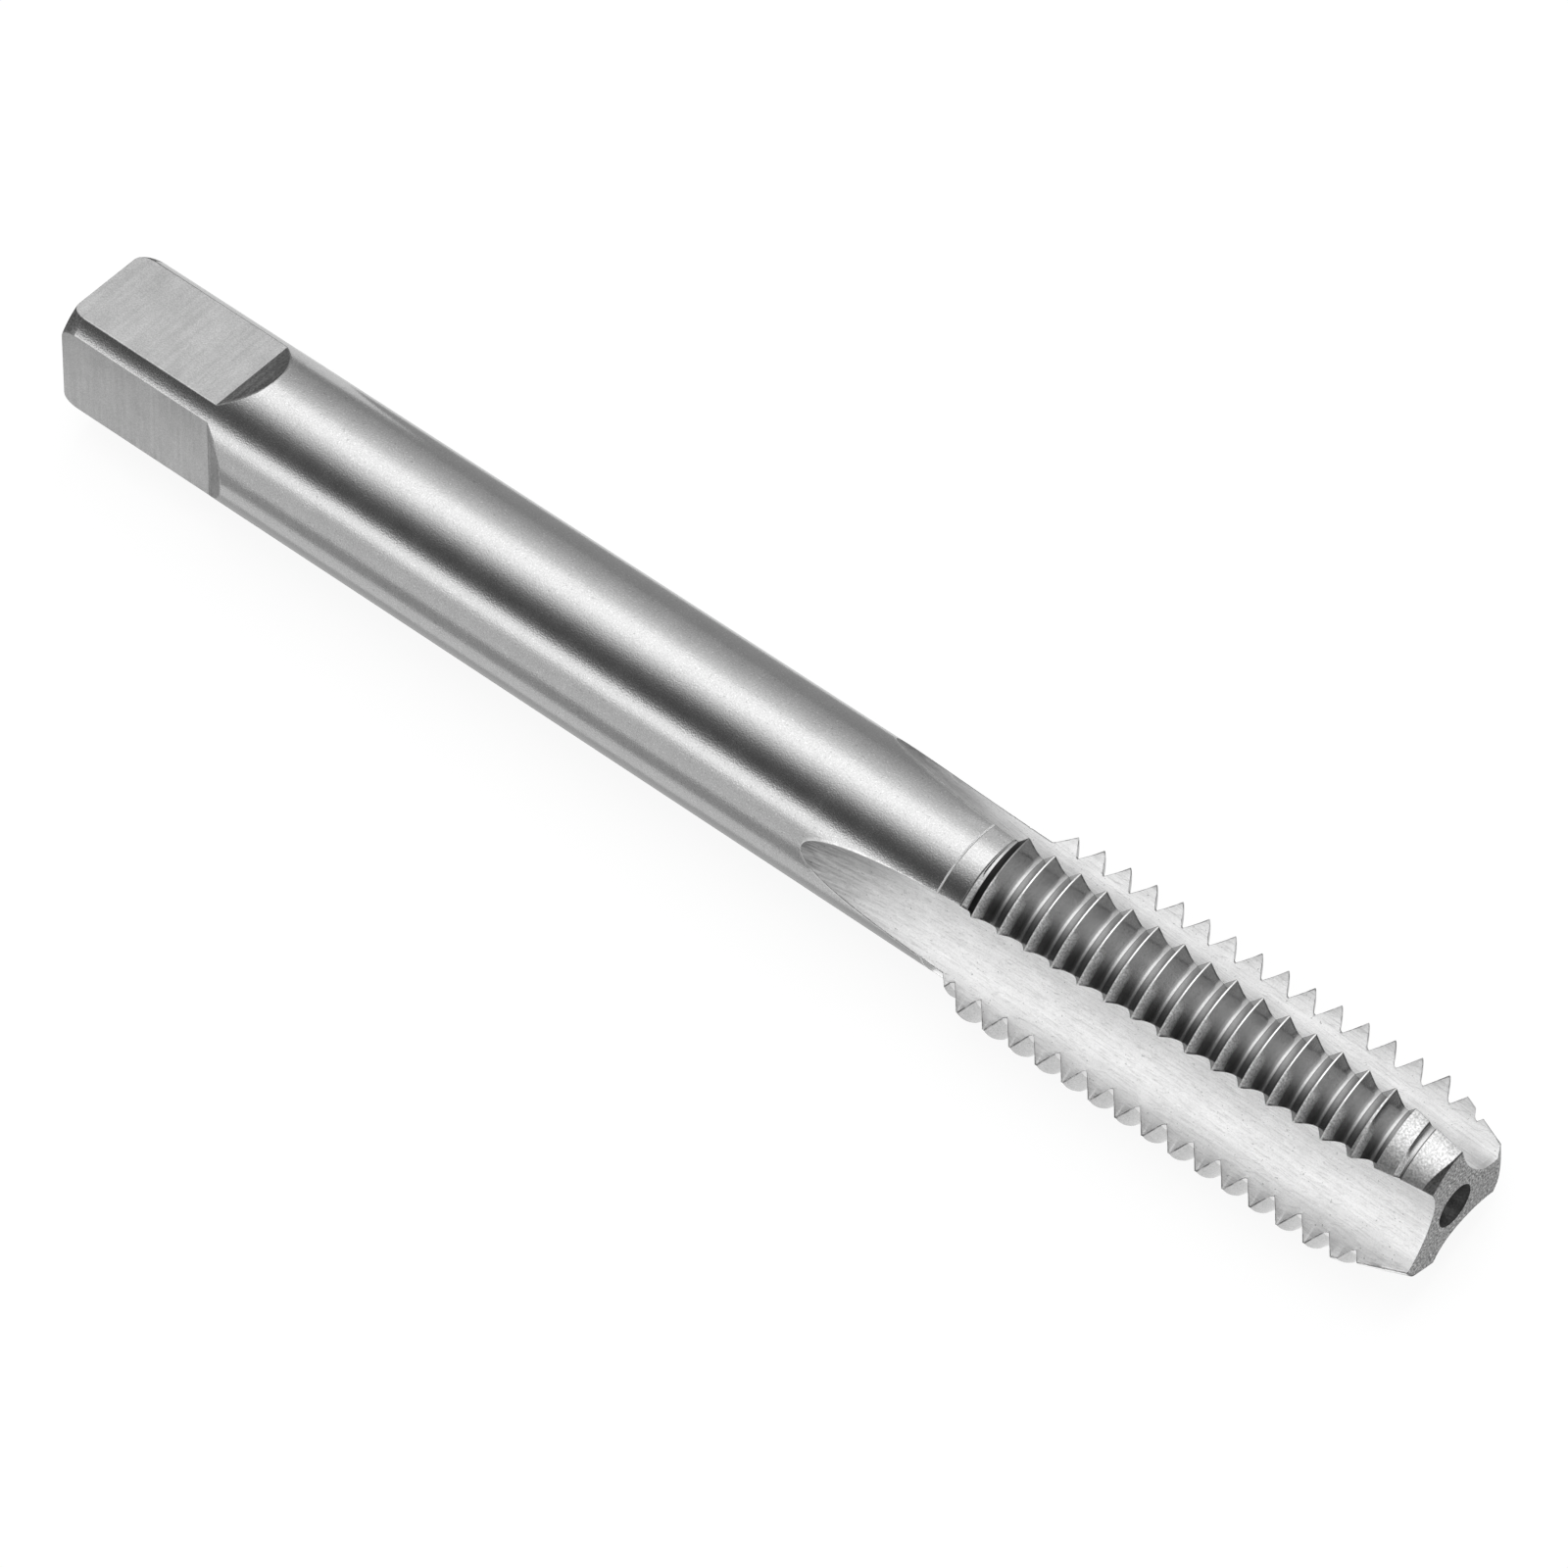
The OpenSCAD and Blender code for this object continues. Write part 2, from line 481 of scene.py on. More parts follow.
@dataclass(frozen=True)
class Flute:
    """One flute: a hollow of two arcs and a straight cutting face, ended by the wheel's own arc.

    Attributes:
        blank: what the flute is ground into.
        core_radius: distance from the axis to the flute's bottom at the tip.
        core_taper: slope of the bottom, which rises towards the shank.
        cutting_side_radius: radius of the arc on the cutting side.
        cutting_face_angle: lean of the straight face at that arc's end.
        heel_side_radius: radius of the arc on the heel side.
        offset: distance across from the flute's middle to the bottom.
        run_out_place: place where the wheel's own arc takes over.
        wheel_radius: radius of the grinding wheel.
        reach: length of the section on each side, which ends outside the blank.
    """

    blank: Blank
    core_radius: float = 1.85
    core_taper: float = 2.2
    cutting_side_radius: float = 2.2
    cutting_face_angle: float = 16.5
    heel_side_radius: float = 5.3
    offset: float = 0.45
    run_out_place: float = 55.7
    wheel_radius: float = 60.0
    reach: float = 6.1

    def section(self, walk: np.ndarray) -> tuple[np.ndarray, np.ndarray]:
        """Walk along the hollow from its bottom, to the cutting side where positive.

        Args:
            walk: millimetres along the section. Up the cutting side it follows a circle until the
                straight face is reached, and up the heel side it follows one wide circle.

        Returns:
            Distance across the flute and height over its bottom.
        """
        lean = math.radians(self.cutting_face_angle)
        arc_end = self.cutting_side_radius * (math.pi / 2 - lean)
        arc = np.clip(walk, 0.0, arc_end) / self.cutting_side_radius
        face = np.maximum(walk - arc_end, 0.0)
        wide = np.maximum(-walk, 0.0) / self.heel_side_radius
        across = (self.offset + self.cutting_side_radius * np.sin(arc) + face * math.sin(lean)
                  - self.heel_side_radius * np.sin(wide))
        height = (self.cutting_side_radius * (1 - np.cos(arc)) + face * math.cos(lean)
                  + self.heel_side_radius * (1 - np.cos(wide)))
        return across, height

    def point(self, place: np.ndarray, walk: np.ndarray) -> tuple[np.ndarray, np.ndarray]:
        """Find the hollow's surface at a place along the tap.

        The bottom falls with the core's taper. Before the run-out, the height is that of a circle
        about the wheel's middle, of the wheel's radius less the height in the section.

        Args:
            place: millimetres from the square end.
            walk: millimetres along the section.

        Returns:
            Distance across the flute and distance out from the axis along its middle.
        """
        taper = math.radians(self.core_taper)
        bottom = self.core_radius + (self.blank.total_length - self.run_out_place) * math.tan(taper)
        across, height = self.section(walk)
        along = place - self.run_out_place
        straight = bottom - along * math.tan(taper) + height / math.cos(taper)
        behind = self.wheel_radius * math.sin(taper) - along
        wheel = self.wheel_radius - height
        ground = bottom + self.wheel_radius * math.cos(taper) - np.sqrt(wheel**2 - behind**2)
        return across, np.where(along < height * math.sin(taper), ground, straight)

    def polar(self, place: np.ndarray, walk: np.ndarray) -> tuple[np.ndarray, np.ndarray]:
        """Radius of the hollow's surface, and its turn from the flute's middle in degrees."""
        across, out = self.point(place, walk)
        return np.hypot(across, out), -np.degrees(np.arctan2(across, out))

    def tip(self) -> tuple[float, float, float]:
        """Find where the run-out first touches the shank, on a fine grid about that point.

        Returns:
            Its place, its walk along the section and its turn from the flute's middle.
        """
        walks = np.linspace(-0.8, 0.5, 651)[None, :]
        places = np.linspace(40.0, self.run_out_place, 400)[:, None]
        radius, _ = self.polar(places, walks)
        lowest = radius.min(axis=1)
        place = float(np.interp(-self.blank.shank_radius, -lowest, places[:, 0]))
        radius, turn = self.polar(np.full((1, 1), place), walks)
        best = int(radius.argmin())
        return place, float(walks[0, best]), float(turn[0, best])

    def corner(self, place: np.ndarray, radius: np.ndarray, side: Side,
               lowest: float) -> np.ndarray:
        """Walk up one side until the hollow reaches a radius, found by halving the span 40 times.

        Args:
            place: millimetres from the square end.
            radius: the radius to reach, of a shape that goes with the places.
            side: the side to walk up.
            lowest: the walk at which to start.

        Returns:
            Millimetres along the section.
        """
        near = np.full(np.broadcast(place, radius).shape, lowest)
        far = np.full_like(near, float(side) * self.reach)
        for _ in range(40):
            middle = (near + far) / 2
            inside = self.polar(place, middle)[0] < radius
            near = np.where(inside, middle, near)
            far = np.where(inside, far, middle)
        return near


def among(kind: np.ndarray, first: ToothRow, past: ToothRow) -> np.ndarray:
    """Say which rows are of the kinds from the first one up to the one before the last named."""
    return (kind >= first) & (kind < past)


@dataclass
class TapNet:
    """The whole surface as one net of rows along the tap and columns round it.

    Rows are at fixed places on the shank and follow the helix on the thread. A row's columns go
    from each land's heel corner to its cutting corner, then through the flute to the next land.

    Attributes:
        blank: the blank whose surface it is.
        land_columns: columns on each land.
        hollow_columns: columns in the middle part of each flute.
        flat_columns: columns on each flat.
        edge: distance from a sharp line to the rows or columns that hold its edge.
        least_step: least distance between rows.
        gather_length: length over which the columns go over from one layout to the next.
        shank_middle: turn about which the upper land's columns lie on the plain shank.
        corner_guess: turn from a land's middle at which the search for its corners starts.
        base_share: share of the way up a tooth's face, from the hollow to the shank's radius, at
            which the face's own columns start.
        mouth_radius: radius of a centre hole at the end face.
        pilot_radius: radius of its straight bore.
        centre_depth: depth of that bore's end.
        painted_shade_span: degrees from a land's middle over which the grooves' painted shade comes
            in.
        ripple_length: length of a flute's rippled start.
    """

    blank: Blank = field(default_factory=Blank)
    land_columns: int = 34
    hollow_columns: int = 18
    flat_columns: int = 32
    edge: float = 0.03
    least_step: float = 0.004
    gather_length: float = 9.0
    shank_middle: float = 3.5
    corner_guess: float = 25.0
    base_share: float = 0.93
    mouth_radius: float = 1.125
    pilot_radius: float = 0.55
    centre_depth: float = 2.2
    painted_shade_span: float = 14.0
    ripple_length: float = 9.0

    def __post_init__(self) -> None:
        """Set up the forms that shape the net, and its rows."""
        self.square = Square(self.blank)
        self.thread = ThreadForm(self.blank)
        self.flute = Flute(self.blank)
        self.tip_place, self.tip_walk, self.tip_turn = self.flute.tip()
        self.third_columns = self.land_columns + self.hollow_columns + 2 * FACE_COLUMNS
        self.columns = FLUTES * self.third_columns
        self._set_rows()

    def _set_rows(self) -> None:
        """List the rows: fixed places up to the thread, tooth rows, then rows round the tip's rim.

        Each row has a fixed place, the share of the tip's chamfer by which it lies before that, a
        kind, or -1 off the thread, the number of its groove, and its share of an entry or exit.
        """
        e, blank, square = self.edge, self.blank, self.square
        end, apex, tip = blank.total_length, square.shoulder_end, self.tip_place
        line, half = blank.line_place, blank.line_width / 2
        ease = np.linspace(0.0, 1.0, 11)
        before = np.concatenate([
            [*blank.end_rows, blank.end_chamfer + e],
            np.linspace(1.4, square.length - 0.6, 6),
            [square.length - e, square.length, square.length + e],
            (square.length + e + (apex - square.length - e) * (1 - (1 - ease) ** 2))[1:],
            apex + np.array(PAST_SHOULDER),
            np.linspace(apex + 7.0, tip - 8.0, 8),
            tip - np.array(BEFORE_RUN_OUT),
            tip + 1.7 * np.linspace(0.0, 1.0, 15) ** 2,
            np.arange(tip + 2.1, line - 0.3, 0.45),
            line + np.array([-half - e, -half, -half / 2, 0.0, half / 2, half, half + e]),
            [line + 0.5, blank.thread_start - e, blank.thread_start, blank.thread_start + e],
        ])
        grooves, entries, exits = self.thread.groove_count, 4, 5
        inner = grooves * int(ToothRow.ENTRY) - 1
        kinds = np.concatenate([
            np.full(entries, ToothRow.ENTRY),
            np.tile(np.arange(ToothRow.ENTRY), grooves)[:-1],
            np.full(exits, ToothRow.EXIT),
        ])
        teeth = np.repeat(np.arange(grooves), ToothRow.ENTRY)[:-1]
        share = np.concatenate([
            np.arange(1, entries + 1) / (entries + 1),
            np.zeros(inner),
            np.arange(1, exits + 1) / exits,
        ])
        rim = np.array([1.0, 0.85, 0.15, 0.0])
        ends = (len(before), len(rim))
        self.fixed = np.concatenate([before, np.zeros(len(kinds)), np.full(len(rim), end)])
        self.row_rim = np.concatenate([np.zeros(len(before) + len(kinds)), rim])
        self.row_kind = np.pad(kinds, ends, constant_values=-1).astype(int)
        self.row_tooth = np.pad(np.pad(teeth, (entries, exits), mode="edge"), ends)
        self.row_share = np.pad(share, ends)

    def places(self, turn: np.ndarray) -> np.ndarray:
        """Place of every row at the turns given.

        On the thread a row holds its share of a groove or crest, so it leans with the helix: its
        place is worked out from the groove's foot at that turn. A crest's middle row moves to the
        blank's nearest bend where it can. Rows keep a least step apart.

        Args:
            turn: degrees from the upper land's middle, shaped rows by any number of columns.

        Returns:
            Millimetres from the square end, of the same shape.
        """
        thread, blank, e = self.thread, self.blank, self.edge
        tooth, near = self.row_tooth[:, None], 0.6 * e
        foot = thread.foot(tooth, turn)
        fall, rise = thread.crest_end(foot), thread.crest_start(foot)
        next_fall = thread.crest_end(foot + thread.pitch)
        width = next_fall - rise
        last_width = fall - thread.crest_start(foot - thread.pitch)
        bend = np.where(tooth < 3, blank.thread_full, blank.lead_start)
        middle = np.clip(bend, rise + 0.45 * width, next_fall - 0.45 * width)
        curve = foot - np.minimum(thread.root_curve, foot - fall)
        steep = between(near, 0.1, thread.near_cut(turn))
        share = self.row_share[:, None]
        entry, exit_ = blank.thread_start + e, blank.total_length - blank.rim(turn) - e
        spots = np.stack([
            fall - np.minimum(e, 0.3 * last_width), fall, fall + steep,
            fall + 2.0 * steep, between(fall, curve, 0.8), curve,
            between(curve, foot, 0.35), between(curve, foot, 0.7),
            foot - near, foot, foot + near,
            between(foot, rise, 0.33), between(foot, rise, 0.67),
            rise - near, rise, rise + np.minimum(e, 0.3 * width), middle,
            between(entry, fall, share), between(rise, exit_, share),
        ])
        chosen = np.take_along_axis(spots, np.maximum(self.row_kind, 0)[None, :, None], axis=0)[0]
        fixed = self.fixed[:, None] - self.row_rim[:, None] * blank.rim(turn)
        place = np.where(self.row_kind[:, None] < 0, fixed, chosen)
        place = np.where(self.row_kind[:, None] < 0, place, np.minimum(place, exit_))
        steps = self.least_step * np.arange(len(place))[:, None]
        return np.minimum(np.maximum.accumulate(place - steps, axis=0) + steps, blank.total_length)

    def land_radius(self, place: np.ndarray, turn: np.ndarray) -> np.ndarray:
        """Radius of a land: the threaded blank, less the drop of its worn crests.

        Args:
            place: place of every row, shaped rows by columns.
            turn: turn of the same points.

        Returns:
            Millimetres from the axis.
        """
        kind = self.row_kind[:, None]
        after = among(kind, ToothRow.CREST_START, ToothRow.ENTRY)
        end = self.thread.crest_end(self.thread.foot(self.row_tooth[:, None] + after, turn))
        worn = after | among(kind, ToothRow.CREST_LAST, ToothRow.FALL_LOWER)
        fade = 1.0 - smooth(place - self.blank.lead_start + 0.8)
        drop = np.where(worn, self.thread.worn(place - end, turn) * fade, 0.0)
        return self.thread.radius(place, turn) - drop

    def corner_turns(self, side: Side, land: int) -> np.ndarray:
        """Find a land's corner in every row, where the flute's wall meets the threaded blank.

        The row's place depends on the turn and the turn on the place, so it is worked out eight
        times over, which settles it.

        Args:
            side: the side of the flute that the corner is on.
            land: the land's number.

        Returns:
            Turn of the corner from the upper land's middle, as one column.
        """
        middle = LAND_TURN / 2 * side
        turn = np.full((len(self.fixed), 1), self.corner_guess * side)
        for _ in range(8):
            whole = turn + LAND_TURN * land
            place = self.places(whole)
            walk = self.flute.corner(place, self.land_radius(place, whole), side, self.tip_walk)
            turn = middle + self.flute.polar(place, walk)[1]
            turn = np.where(place < self.tip_place, middle + self.tip_turn, turn)
        return turn + LAND_TURN * land

    def flute_walks(self, place: np.ndarray, turn: np.ndarray, cut: np.ndarray,
                    heel: np.ndarray) -> np.ndarray:
        """Spread a flute's columns over its hollow, from the cutting corner to the heel corner.

        The tooth faces have one column beside the corner, two a tenth and a half of the way down,
        and one on a base line a little below the thread's root. The rest divide the hollow between
        the base lines evenly.

        Args:
            place: place of the cutting and heel corners in every row, in two columns.
            turn: turn of the same corners.
            cut: walk of the cutting corner in every row.
            heel: walk of the heel corner in every row.

        Returns:
            Walks shaped rows by flute columns.
        """
        bases = []
        for side, which in ((Side.CUTTING, slice(0, 1)), (Side.HEEL, slice(1, 2))):
            at = place[:, which]
            level = np.minimum(self.blank.shank_radius, self.blank.radius(at, turn[:, which]))
            top = self.flute.corner(at, level, side, self.tip_walk)
            bases.append(between(self.tip_walk, top, self.base_share))
        base_cut, base_heel = bases
        edge_cut = np.minimum(self.edge, 0.3 * (cut - base_cut))
        edge_heel = np.minimum(self.edge, 0.3 * (base_heel - heel))
        hollow = np.arange(1, self.hollow_columns + 1)[None, :] / (self.hollow_columns + 1)
        down = np.array([[0.1, 0.5]])
        return np.hstack([
            cut - edge_cut, between(cut, base_cut, down), base_cut,
            between(base_cut, base_heel, hollow),
            base_heel, between(base_heel, heel, 1 - down[:, ::-1]), heel + edge_heel,
        ])

    def threaded(self) -> tuple[np.ndarray, np.ndarray, np.ndarray]:
        """Lay the columns by lands and flutes in every row.

        A flute's columns go over from the cutting corner's place to the next heel corner's, as the
        helix moves a row on.

        Returns:
            Place, turn and radius, each shaped rows by columns. Rows before the run-outs' tips have
            their flute columns gathered on the tips' turns.
        """
        heel_turns = [self.corner_turns(Side.HEEL, land) for land in range(FLUTES)]
        cut_turns = [self.corner_turns(Side.CUTTING, land) for land in range(FLUTES)]
        over_land = spread_with_edges(0.0, 1.0, self.land_columns, 0.007)
        hollow = smooth(np.linspace(-0.02, 1.02, self.hollow_columns + 2)[1:-1])
        start, stop = np.zeros(FACE_COLUMNS), np.ones(FACE_COLUMNS)
        drift = np.concatenate([start, hollow, stop])[None, :]
        parts: list[tuple[np.ndarray, np.ndarray, np.ndarray]] = []
        for land, (heel, cut) in enumerate(zip(heel_turns, cut_turns)):
            turn = between(heel, cut, over_land)
            place = self.places(turn)
            parts.append((place, turn, self.land_radius(place, turn)))
            turns = np.hstack([cut, heel_turns[(land + 1) % FLUTES]])
            both = np.hstack([self.places(turns[:, :1]), self.places(turns[:, 1:])])
            level = self.land_radius(both, turns)
            walks = [self.flute.corner(both[:, k:k + 1], level[:, k:k + 1], side, self.tip_walk)
                     for k, side in enumerate((Side.CUTTING, Side.HEEL))]
            walk = self.flute_walks(both, turns, *walks)
            at = between(both[:, :1], both[:, 1:], drift)
            radius, away = self.flute.polar(at, walk)
            away = np.where(at < self.tip_place, self.tip_turn, away)
            radius = np.where(at < self.tip_place, self.blank.radius(at, 0.0), radius)
            parts.append((at, away + LAND_TURN * (land + 0.5), radius))
        place, turn, radius = (np.hstack(group) for group in zip(*parts))
        return place, turn, radius

    def squared_turns(self, place: np.ndarray) -> np.ndarray:
        """Turn the columns where they follow the flats' edges.

        A flat's columns are evenly spread over its width, so their tangents are even, and the rest
        of each quarter's columns divide the arc between two flats. The whole is then moved round,
        so that it starts beside the upper land's heel column.

        Args:
            place: place of every row, as one column.

        Returns:
            Turns shaped rows by columns.
        """
        arc = self.columns // 4 - self.flat_columns
        edge = self.square.edge_turn(place)
        across = spread_with_edges(-1.0, 1.0, self.flat_columns, 0.012)
        on_flat = np.degrees(np.arctan(np.tan(np.radians(edge)) * across))
        on_arc = between(edge, FLAT_TURN - edge, np.arange(1, arc + 1)[None, :] / (arc + 1))
        flat_and_arc = np.hstack([on_flat, on_arc]) + self.square.turn
        wrapped = np.hstack([flat_and_arc + FLAT_TURN * k for k in range(-4, 8)])
        step = 360.0 / self.columns
        first = round((self.square.turn - self._first_turn()) / step - (self.flat_columns - 1) / 2)
        return wrapped[:, self.columns - first:2 * self.columns - first]

    def _first_turn(self) -> float:
        """Turn of the first column where the columns are evenly spread round the shank."""
        return self.shank_middle - 180.0 * (self.land_columns - 1) / self.columns

    def side_rows(self) -> tuple[np.ndarray, np.ndarray, np.ndarray]:
        """Join the columns' three layouts along the tap: by flats, even, and by lands and flutes.

        Returns:
            Place, turn and radius of the outside surface, each shaped rows by columns.
        """
        place, turn, radius = self.threaded()
        apex, tip = self.square.shoulder_end, self.tip_place
        even = self._first_turn() + 360.0 * np.arange(self.columns)[None, :] / self.columns
        along = place[:, :1]
        flats = self.squared_turns(np.minimum(along, apex))
        opened, gathered = (smooth(np.sqrt(np.clip(far / self.gather_length, 0.0, 1.0)))
                            for far in (along - apex, tip - along))
        front, back = between(flats, even, opened), between(turn, even, gathered)
        turn = np.where(along < (apex + tip) / 2, front, np.where(along < tip, back, turn))
        flat = self.square.height(place) / np.cos(np.radians(self.square.from_middle(turn)))
        return place, turn, np.where(place < apex, np.minimum(radius, flat), radius)

    def cap_rows(self, rim_radius: np.ndarray) -> tuple[np.ndarray, np.ndarray, np.ndarray]:
        """Follow an end face from its rim inwards, down the centre hole and to the drill's point.

        The face is flat from the rim to the mouth, a 60 degree cone leads to the pilot bore, and a
        118 degree point closes it.

        Args:
            rim_radius: radius of the face's rim in every column.

        Returns:
            Depth below the face, radius and region number, all shaped rows by columns.
        """
        e, mouth, pilot = self.edge, self.mouth_radius, self.pilot_radius
        cone = (mouth - pilot) / math.tan(math.radians(60.0 / 2))
        point = self.centre_depth + pilot / math.tan(math.radians(118.0 / 2))
        rim = rim_radius[None, :]
        shares = np.array([[0.8], [0.6], [0.4], [0.2]])
        face = np.vstack([rim - e, between(np.full_like(rim, mouth + e), rim - e, shares),
                          np.full_like(rim, mouth + e)])
        hole = np.array([
            (0.0, mouth), (0.02, mouth - 0.02), (cone / 2, (mouth + pilot) / 2),
            (cone - 0.03, pilot + 0.02), (cone, pilot), (cone + 0.04, pilot),
            ((cone + self.centre_depth) / 2, pilot), (self.centre_depth - 0.03, pilot),
            (self.centre_depth, pilot), (self.centre_depth + 0.03, pilot - 0.04), (point, 0.0),
        ])
        columns = rim_radius.size
        depth = np.vstack([np.zeros_like(face), np.repeat(hole[:, :1], columns, axis=1)])
        radius = np.vstack([face, np.repeat(hole[:, 1:], columns, axis=1)])
        regions = np.repeat([Region.END_FACE.value, Region.CENTRE.value],
                            [len(face) + 1, len(hole) - 1])
        return depth, radius, np.repeat(regions[:, None], columns, axis=1)

    def regions(self, place: np.ndarray, turn: np.ndarray) -> np.ndarray:
        """Name the region of every quad on the outside, from its first row and column.

        Args:
            place: place of every net point.
            turn: turn of every net point.

        Returns:
            Region numbers, shaped rows less one by columns.
        """
        count = len(place) - 1
        kind = self.row_kind[:-1, None]
        on_land = np.arange(self.columns)[None, :] % self.third_columns < self.land_columns - 1
        start = place[:-1]
        label = np.full((count, self.columns), Region.SHANK.value)
        middle = (turn + np.roll(turn, -1, axis=1))[:-1] / 2
        flat = np.abs(self.square.from_middle(middle)) < self.square.edge_turn(start)
        flat &= start < self.square.shoulder_end - HAIR
        level = start < self.square.length - HAIR
        label[flat & level] = Region.FLAT.value
        label[flat & ~level] = Region.SHOULDER.value
        label[~flat & (start < self.blank.end_chamfer - HAIR)] = Region.RIM.value
        falls = among(kind, ToothRow.CREST_END, ToothRow.ROOT_UPPER)
        rises = among(kind, ToothRow.ROOT_END, ToothRow.CREST_START)
        root = among(kind, ToothRow.ROOT_UPPER, ToothRow.ROOT_END)
        rest = (kind >= 0) & ~falls & ~rises & ~root
        lead = start > self.blank.lead_start - 0.4
        for chosen, region in (
            (falls | rises | (kind == ToothRow.ENTRY), Region.FLANK), (root, Region.ROOT),
            (rest & (kind != ToothRow.ENTRY) & ~lead, Region.CREST), (rest & lead, Region.LEAD),
        ):
            label[np.broadcast_to(chosen & on_land, label.shape)] = region.value
        # The first groove's rising flank takes a finish painted near black as shade.
        label[rises & (self.row_tooth[:-1, None] == 0) & on_land] = Region.FIRST_FLANK.value
        label[on_land & (self.row_rim[:-1, None] > 0)] = Region.RIM.value
        scribed = np.abs(start + HAIR - self.blank.line_place) < self.blank.line_width / 2
        label[scribed & (kind < 0)] = Region.SCRIBED.value
        label[~on_land & (start >= self.tip_place - HAIR)] = Region.FLUTE.value
        return label

    def marks(self, place: np.ndarray, turn: np.ndarray) -> dict[str, np.ndarray]:
        """Say where the tool's use and grinding left marks, and where shade and glints are painted,
        from 0 to 1.

        Worn is high on the crests near a cutting corner and fades down the flank. Painted shade is
        high on the first crest, and less so in the grooves near a cutting corner. Edge is high on
        the corners between lands and flutes, where the finishes paint dark lines and a glint.
        Rippled is high where a flute begins to run out.

        Args:
            place: place of every net point.
            turn: turn of every net point.

        Returns:
            Each mark's strength, shaped rows by columns.
        """
        kind, tooth = self.row_kind[:, None], self.row_tooth[:, None]
        column = np.arange(self.columns)[None, :] % self.third_columns
        on_land = column < self.land_columns
        weight = np.zeros(len(self.row_kind))
        for row, strength in (
            (ToothRow.CREST_START, 0.6), (ToothRow.CREST_FIRST, 1.0), (ToothRow.CREST_MIDDLE, 1.0),
            (ToothRow.CREST_LAST, 1.0), (ToothRow.CREST_END, 1.0), (ToothRow.FALL_FIRST, 1.0),
            (ToothRow.FALL_UPPER, 0.75),
        ):
            weight[self.row_kind == row] = strength
        groove = among(kind, ToothRow.ROOT_UPPER, ToothRow.CREST_START)
        # Land corners, where the finishes paint dark lines, and a glint on the shank beside the
        # flutes.
        corner = ((column <= 1) | (column == self.third_columns - 1)
                  | (np.abs(column - self.land_columns + 1) <= 1))
        past_tip = self.fixed[:, None] > self.tip_place
        # Painted shade: the grooves darken towards a cutting corner, and the first crest darkens
        # most.
        painted_shade_strength = 0.3 * smooth((from_nearest(turn, LAND_TURN) - 2.0) / self.painted_shade_span)
        first_crest = ((tooth == 0) & among(kind, ToothRow.CREST_START, ToothRow.ENTRY)
                       | (tooth == 1) & among(kind, ToothRow.CREST_LAST, ToothRow.FALL_FIRST))
        ripple = 1.0 - smooth((place - self.tip_place) / self.ripple_length) ** 0.7
        return {
            "worn": np.where(on_land, self.thread.near_cut(turn) * weight[:, None], 0.0),
            "painted_shade": np.where(on_land, np.where(first_crest, 0.8, groove * painted_shade_strength), 0.0),
            "edge": np.where(corner & (past_tip | (kind >= 0)), 1.0, 0.0),
            "rippled": np.where(on_land, 0.0, ripple),
        }

    def build(self) -> bpy.types.Object:
        """Join the caps and the outside into one closed mesh, with a region number on every face.

        Returns:
            The tap's object.
        """
        place, turn, radius = self.side_rows()
        depth_a, radius_a, label_a = self.cap_rows(radius[0])
        depth_b, radius_b, label_b = self.cap_rows(radius[-1])
        caps = ((len(depth_a), len(depth_b)), (0, 0))
        marks = {name: np.pad(mark, caps) for name, mark in self.marks(place, turn).items()}
        points = self.blank.to_world(
            np.vstack([depth_a[::-1], place, self.blank.total_length - depth_b]),
            np.pad(turn, caps, mode="edge"),
            np.vstack([radius_a[::-1], radius, radius_b]),
        )
        numbers = np.vstack([label_a[::-1], self.regions(place, turn), label_b])
        return self._mesh(points, numbers, marks)

    def _mesh(self, points: np.ndarray, numbers: np.ndarray,
              marks: dict[str, np.ndarray]) -> bpy.types.Object:
        """Make the object: quads between neighbouring rows and columns, closed round the axis.

        The map named grain runs along the tap in its first direction and round it in its second,
        and gives the finishes the direction of their grinding lines.

        Args:
            points: the net's points in metres.
            numbers: region number of every quad.
            marks: strength of each mark at every point.

        Returns:
            The object.
        """
        rows, columns = points.shape[:2]
        row, column = np.meshgrid(np.arange(rows - 1), np.arange(columns), indexing="ij")
        right = (column + 1) % columns
        quads = np.stack([row * columns + column, row * columns + right,
                          (row + 1) * columns + right, (row + 1) * columns + column], axis=-1)
        data = bpy.data.meshes.new("tap_steel")
        data.from_pydata(points.reshape(-1, 3).tolist(), [], quads.reshape(-1, 4).tolist())
        data.polygons.foreach_set("material_index", numbers.reshape(-1).astype(np.int32))
        data.polygons.foreach_set("use_smooth", np.ones(numbers.size, dtype=bool))
        round_it = np.stack([column, column + 1, column + 1, column], axis=-1) / columns
        along = np.stack([row, row, row + 1, row + 1], axis=-1) / rows
        chart = np.stack([along, round_it], axis=-1).reshape(-1)
        data.uv_layers.new(name="grain").data.foreach_set("uv", chart.astype(np.float32))
        for name, mark in marks.items():
            data.attributes.new(name, "FLOAT", "POINT").data.foreach_set(
                "value", mark.reshape(-1).astype(np.float32))
        data.update()
        made = place_object("tap_steel", data)
        weld_poles(made)
        return made


def weld_poles(made: bpy.types.Object) -> None:
    """Merge the points that fall together at the drill points and run-out tips, and report gaps.

    Args:
        made: the object, whose mesh is changed.
    """
    work = bmesh.new()
    work.from_mesh(made.data)
    bmesh.ops.remove_doubles(work, verts=work.verts, dist=WELD_REACH)
    bmesh.ops.dissolve_degenerate(work, edges=work.edges, dist=LEAST_EDGE)
    open_edges = sum(1 for edge in work.edges if not edge.is_manifold)
    work.to_mesh(made.data)
    work.free()
    made.data.update()
    LOG.info("%s: %d faces, %d open edges", made.name, len(made.data.polygons), open_edges)


